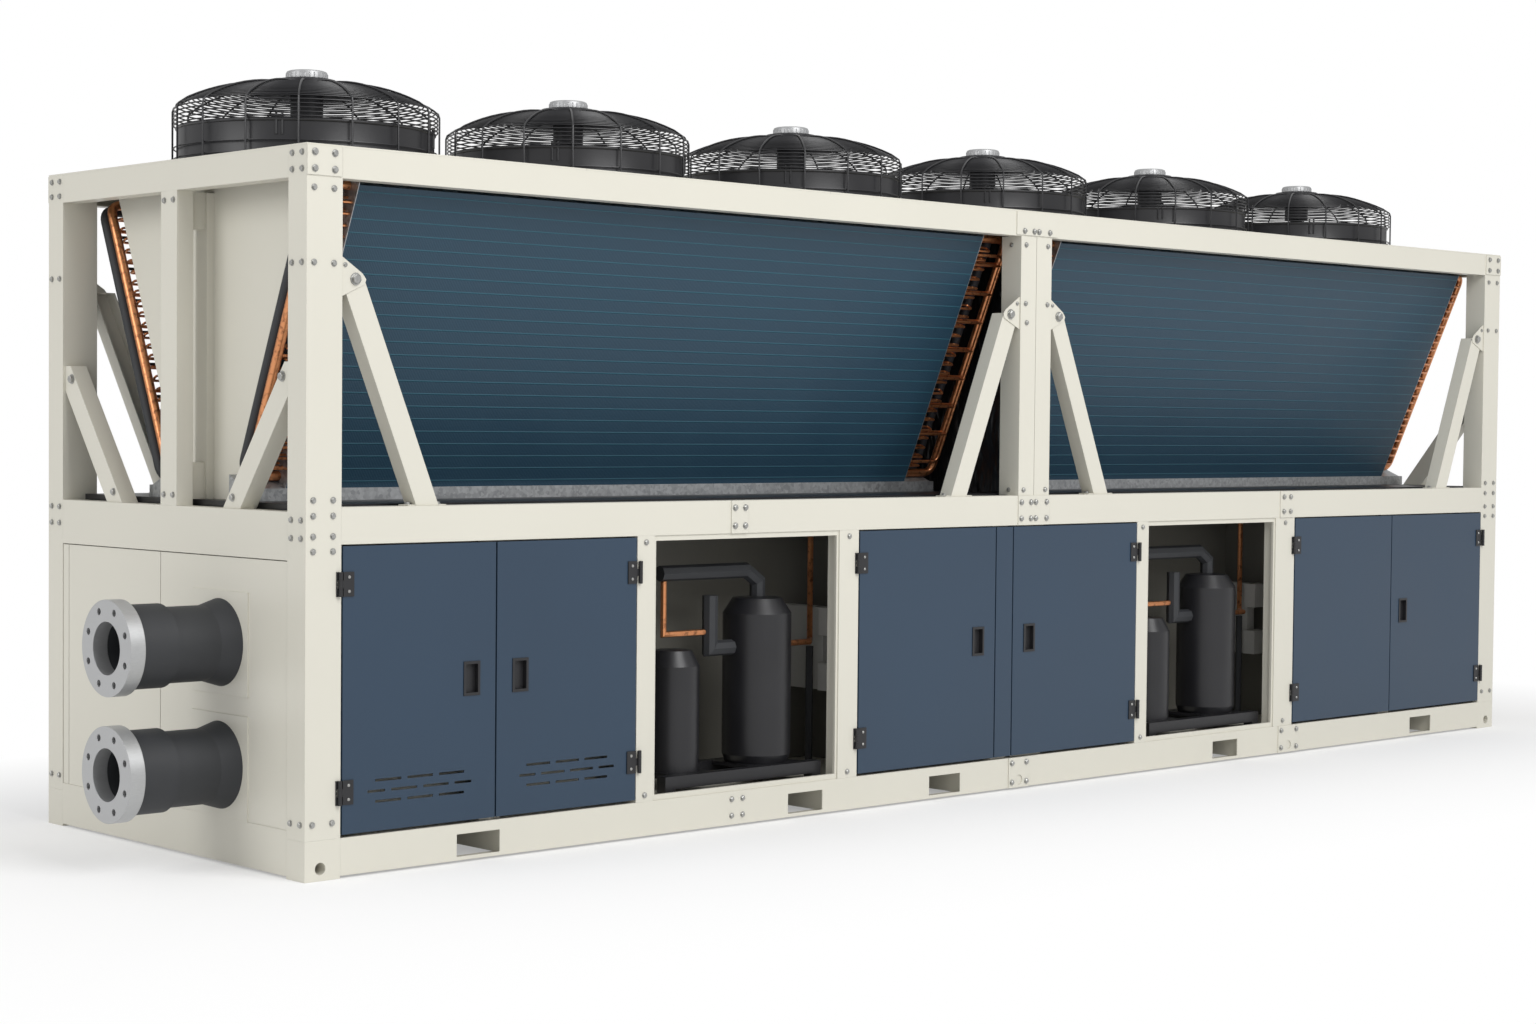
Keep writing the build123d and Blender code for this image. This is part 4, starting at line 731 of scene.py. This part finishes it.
# Return bends: hairpins of thin copper tube, two to a row, close packed down the whole coil end.
# Reaches vary a little, as hand-brazed bends do.
BEND_ROWS = 26
BEND_ROW = SLOPE_LENGTH / BEND_ROWS
BEND_DEPTHS = ((0.014, 0.041), (0.066, 0.095))
BEND_TUBE = 0.0046
draw = Random(7)
bends = Shape()
for sheet_x, out, reach, black_reach, copper_reach in COIL_ENDS:
    for side in (-1, 1):
        for i in range(1, BEND_ROWS - 1):
            down = (i + 0.5) * BEND_ROW
            for near, far in BEND_DEPTHS:
                tip = sheet_x + out * (reach - draw.random() * 0.012)
                lean = (draw.random() - 0.5) * 0.008
                legs = [
                    beside(sheet_x, side, down - lean, near),
                    beside(tip, side, down - lean, near),
                    beside(tip, side, down + lean, far),
                    beside(sheet_x, side, down + lean, far),
                ]
                bends.tube(soft_path(legs, 0.012, 4), BEND_TUBE, 6)
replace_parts(bends.piece("hairpin_bends", copper), "return_bends")


# Headers: pipes that leave the tube sheet above the first bend, run down the slope and turn in again under
# the last one. The bare copper ones have thin stubs between the bends, the others are sleeved in foam.
HEADER = 0.016
SLEEVE = 0.019
FEED = 0.0065
STUB = 0.0055
STUB_ROWS = range(3, BEND_ROWS - 2, 3)
OUTER_COPPER_DEPTH = {-1: 0.0535, 1: 0.055}
INNER_COPPER_DEPTH = 0.040
INNER_BLACK_DEPTH = 0.085


def header(pipes, sheet_x, side, x, depth, radius, turn_in=BEND_ROW / 2, softness=0.045):
    """Adds one header's run, from the sheet at turn_in below the coil's top to as far above its foot."""
    low = SLOPE_LENGTH - turn_in
    run = [
        beside(sheet_x, side, turn_in, depth),
        beside(x, side, turn_in, depth),
        beside(x, side, low, depth),
        beside(sheet_x, side, low, depth),
    ]
    pipes.tube(soft_path(run, softness, 8), radius, 18)
    for row in STUB_ROWS:
        pipes.tube([beside(x, side, row * BEND_ROW, depth), beside(sheet_x, side, row * BEND_ROW, depth)], STUB, 8)


coppers = Shape()
sleeves = Shape()
for sheet_x, out, reach, black_reach, copper_reach in COIL_ENDS:
    for side in (-1, 1):
        black_x = sheet_x + out * black_reach
        copper_x = sheet_x + out * copper_reach
        if black_reach == copper_reach:
            header(sleeves, sheet_x, side, black_x, OUTER_BLACK_DEPTH[side], SLEEVE)
            header(coppers, sheet_x, side, copper_x, OUTER_COPPER_DEPTH[side], HEADER)
        else:
            header(sleeves, sheet_x, side, black_x, INNER_BLACK_DEPTH, SLEEVE - 0.001)
            header(coppers, sheet_x, side, copper_x, INNER_COPPER_DEPTH, HEADER)
            feed_x = copper_x - out * 0.012
            header(coppers, sheet_x, side, feed_x, INNER_COPPER_DEPTH - 0.024, FEED, 2 * BEND_ROW, 0.03)
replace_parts(coppers.piece("bare_headers", copper), "copper_headers")
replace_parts(sleeves.piece("header_sleeves", insulation), "black_headers")


# The sheet between the modules: black plastic film over a thin steel sheet, slack and creased. It stands
# on the tray and reaches up to the deck, between the two pairs of coils.
FILM_X = 0.045
FILM_HALF = 0.690
FILM_SLACK = 0.005
FILM_COLUMNS = 46
FILM_ROWS = 36
tray_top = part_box("drain_tray")[1].z


def creased_film():
    finish = Finish("creased_film")
    crease = finish.noise(5, 3, 0.55, (1, 1.6, 0.6))
    fold = (crease - 0.5).math("ABSOLUTE")
    return finish.done(
        Base_Color=(0.012, 0.012, 0.013),
        Roughness=0.28,
        Normal=finish.bump(fold, 0.05, 1.0),
    )


film = Shape()
film_rows = []
for i in range(FILM_ROWS + 1):
    z = tray_top + (deck_low.z - tray_top) * i / FILM_ROWS
    front = []
    for j in range(FILM_COLUMNS + 1):
        y = FILM_HALF * (2 * j / FILM_COLUMNS - 1)
        slack = sin(9 * y + 4 * z) * sin(7 * z - 3 * y) + 0.5 * sin(23 * y - 11 * z)
        front.append(Vector((FILM_X + FILM_SLACK * slack, y, z)))
    back = [point + Vector((0.003, 0, 0)) for point in front[::-1]]
    film_rows.append(front + back)
film.grid(film_rows)
film.cap(film_rows[0][::-1])
film.cap(film_rows[-1])
film.piece("module_film", creased_film(), smooth=1.0)


# Gussets and foot tabs of the long sides' braces: laser-cut cream plates. A gusset covers the brace's upper
# end and stands on the post's side, and two tabs bolt its foot down on the middle rail.
BRACE_FACE = 0.790
GUSSET_PLATE = 0.004
BRACE_FOOT = 0.287
BRACE_WIDTH = 0.086
TAB_LENGTH = 0.030
BRACE_SIDES = ((-3.220, 1), (-0.090, -1), (0.090, 1), (3.220, -1))
GUSSET_OUTLINE = ((0, 1.790), (0, 1.915), (0.078, 1.864), (0.092, 1.846), (0.086, 1.830))
rail_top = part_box("mid_rails")[1].z
plates = Shape()
for side in (-1, 1):
    for face, way in BRACE_SIDES:
        rings = []
        for y in (BRACE_FACE, BRACE_FACE + GUSSET_PLATE):
            rings.append([Vector((face + way * step, side * y, z)) for step, z in GUSSET_OUTLINE])
        plates.grid(rings)
        plates.cap(rings[0])
        plates.cap(rings[1])
        for start in (BRACE_FOOT - TAB_LENGTH - 0.002, BRACE_FOOT + BRACE_WIDTH):
            ends = sorted((face + way * start, face + way * (start + TAB_LENGTH)))
            depths = sorted((side * 0.738, side * BRACE_FACE))
            plates.block((ends[0], depths[0], rail_top), (ends[1], depths[1], rail_top + GUSSET_PLATE))
plates.piece("brace_plates", cream, smooth=0.4, bevel=0.0008)


# Bolts and screws of the frame: zinc plated, on the joint plates, posts, jambs, gussets and brackets.
PLATE_FACE = 0.804
POST_FACE = 0.800
END_FACE = 3.350


def plated_steel():
    finish = Finish("plated_steel")
    cloud = finish.noise(120, 2)
    return finish.done(
        Base_Color=finish.blend(cloud, (0.30, 0.30, 0.29), (0.52, 0.52, 0.50)),
        Metallic=0.85,
        Roughness=cloud * 0.2 + 0.25,
    )


plated = plated_steel()
bolts = Shape()
plate_spots = [(x, z) for x in (-0.076, -0.020, 0.008, 0.072) for z in (1.119, 1.056)]
plate_spots += [(x, 2.170) for x in (-0.076, -0.020, 0.008, 0.072)]
for x in (-1.560, 1.665):
    plate_spots += [(x + dx, z) for dx in (-0.024, 0.024) for z in (1.120, 1.057)]
for x, half in ((-0.071, 0.042), (1.700, 0.055)):
    plate_spots += [(x - half, 0.105), (x + half, 0.105), (x - half, 0.030), (x + half, 0.030)]
for end in (-1, 1):
    plate_spots += [(end * 3.287 + dx, 2.199 + dz) for dx in (-0.036, 0.036) for dz in (-0.025, 0.025)]
post_spots = [(x, z) for x in (-0.062, 0.066) for z in (2.117, 1.890, 1.167)] + [(-0.055, 1.816)]
post_spots += [(-1.560 + dx, z) for dx in (-0.026, 0.026) for z in (0.098, 0.040)]
for end in (-1, 1):
    corner_heights = (2.117, 1.890, 1.167, 1.119, 1.056, 1.010, 0.175)
    post_spots += [(end * 3.287 + dx, z) for dx in (-0.036, 0.036) for z in corner_heights]
for x in (-1.9885, -1.0155, 0.6785, 1.658):
    post_spots += [(x, 1.008), (x, 0.148)]
for side in (-1, 1):
    out = (0, side, 0)
    for x, z in plate_spots:
        bolts.bolt((x, side * PLATE_FACE, z), out)
    for x, z in post_spots:
        bolts.bolt((x, side * POST_FACE, z), out, 0.008)
    for face, way in BRACE_SIDES:
        gusset_face = side * (BRACE_FACE + GUSSET_PLATE)
        bolts.bolt((face + way * 0.052, gusset_face, 1.846), out, 0.015)
        bolts.bolt((face + way * 0.014, gusset_face, 1.888), out, 0.006)
        for step in (BRACE_FOOT - 0.016, BRACE_FOOT + BRACE_WIDTH + 0.014):
            bolts.bolt((face + way * step, side * 0.764, rail_top + GUSSET_PLATE), (0, 0, 1), 0.009)
    for z in (2.117, 1.167):
        bolts.bolt((-0.090, side * 0.750, z), (-1, 0, 0), 0.007)
        bolts.bolt((0.090, side * 0.750, z), (1, 0, 0), 0.007)
    for end in (-1, 1):
        for y in (0.722, 0.776):
            for z in (2.223, 2.173, 1.106, 1.050, 1.890, 0.175):
                bolts.bolt((end * END_FACE, side * y, z), (end, 0, 0), 0.008)
        bolts.bolt((end * (END_FACE - 0.010), side * 0.655, 1.545), (end, 0, 0), 0.013)
        bolts.bolt((end * (END_FACE - 0.010), side * 0.372, 1.165), (end, 0, 0), 0.010)
        for z in (2.120, 1.165):
            bolts.bolt((end * END_FACE, side * 0.028, z), (end, 0, 0), 0.008)
bolts.piece("frame_bolts", plated, smooth=0.5)


# Hinge screws: two silver heads in each leaf. Those in the door's leaf swing with the door.
PINS = ((1, -3.228, 1), (2, -2.019, -1), (3, -0.974, 1), (4, 0.651, -1), (5, 1.718, 1), (6, 3.228, -1))
post_screws = Shape()
SCREW = [(0.0052, 0), (0.0052, 0.001), (0.0036, 0.0026)]
toward = Vector((0, -1, 0))
for n, pin_x, way in PINS:
    door_screws = Shape()
    for height in (0.265, 0.908):
        for step in (-0.022, 0.022):
            door_screws.peg(Vector((pin_x + way * 0.034, -0.806, height + step)), toward, SCREW, 12)
            post_screws.peg(Vector((pin_x - way * 0.0096, -0.804, height + step * 0.3)), toward,
                            [(r * 0.3, h) for r, h in SCREW], 6)
    door_screws.piece(f"hinge_screws_{n}", plated, body=f"door_{n}")
post_screws.piece("post_hinge_screws", plated)


# Fan clips and deck bolts: a silver bolt every 45 degrees in the shroud's foot flange, and four black
# clips over the shroud's upper edge that hold the guard.
deck_bolts = Shape()
clips = Shape()
for centre in fan_centres:
    for i in range(8):
        turn = pi / 4 * (i + 0.5)
        out = Vector((cos(turn), sin(turn), 0))
        deck_bolts.bolt(centre + out * (flange_radius - 0.013) + Vector((0, 0, floor_z + 0.004)), (0, 0, 1), 0.006)
    for i in range(4):
        turn = pi / 2 * (i + 0.5)
        out = Vector((cos(turn), sin(turn), 0))
        along = Vector((-sin(turn), cos(turn), 0))
        for step in (-0.010, 0.010):
            base = centre + out * (shroud_radius + 0.001) + along * step
            heights = (shroud_high.z - 0.055, shroud_high.z + 0.014)
            clips.tube([base + Vector((0, 0, z)) for z in heights], 0.004, 6)
deck_bolts.piece("deck_bolts", plated)
clips.piece("guard_clips", black)


# Valve drives: light grey moulded housings.
def light_plastic():
    finish = Finish("light_plastic")
    grain = finish.noise(600, 2)
    return finish.done(
        Base_Color=(0.56, 0.56, 0.54),
        Roughness=0.5,
        Normal=finish.bump(grain, 0.0002, 0.4, 0.003),
    )


coat(light_plastic(), "valve_boxes")
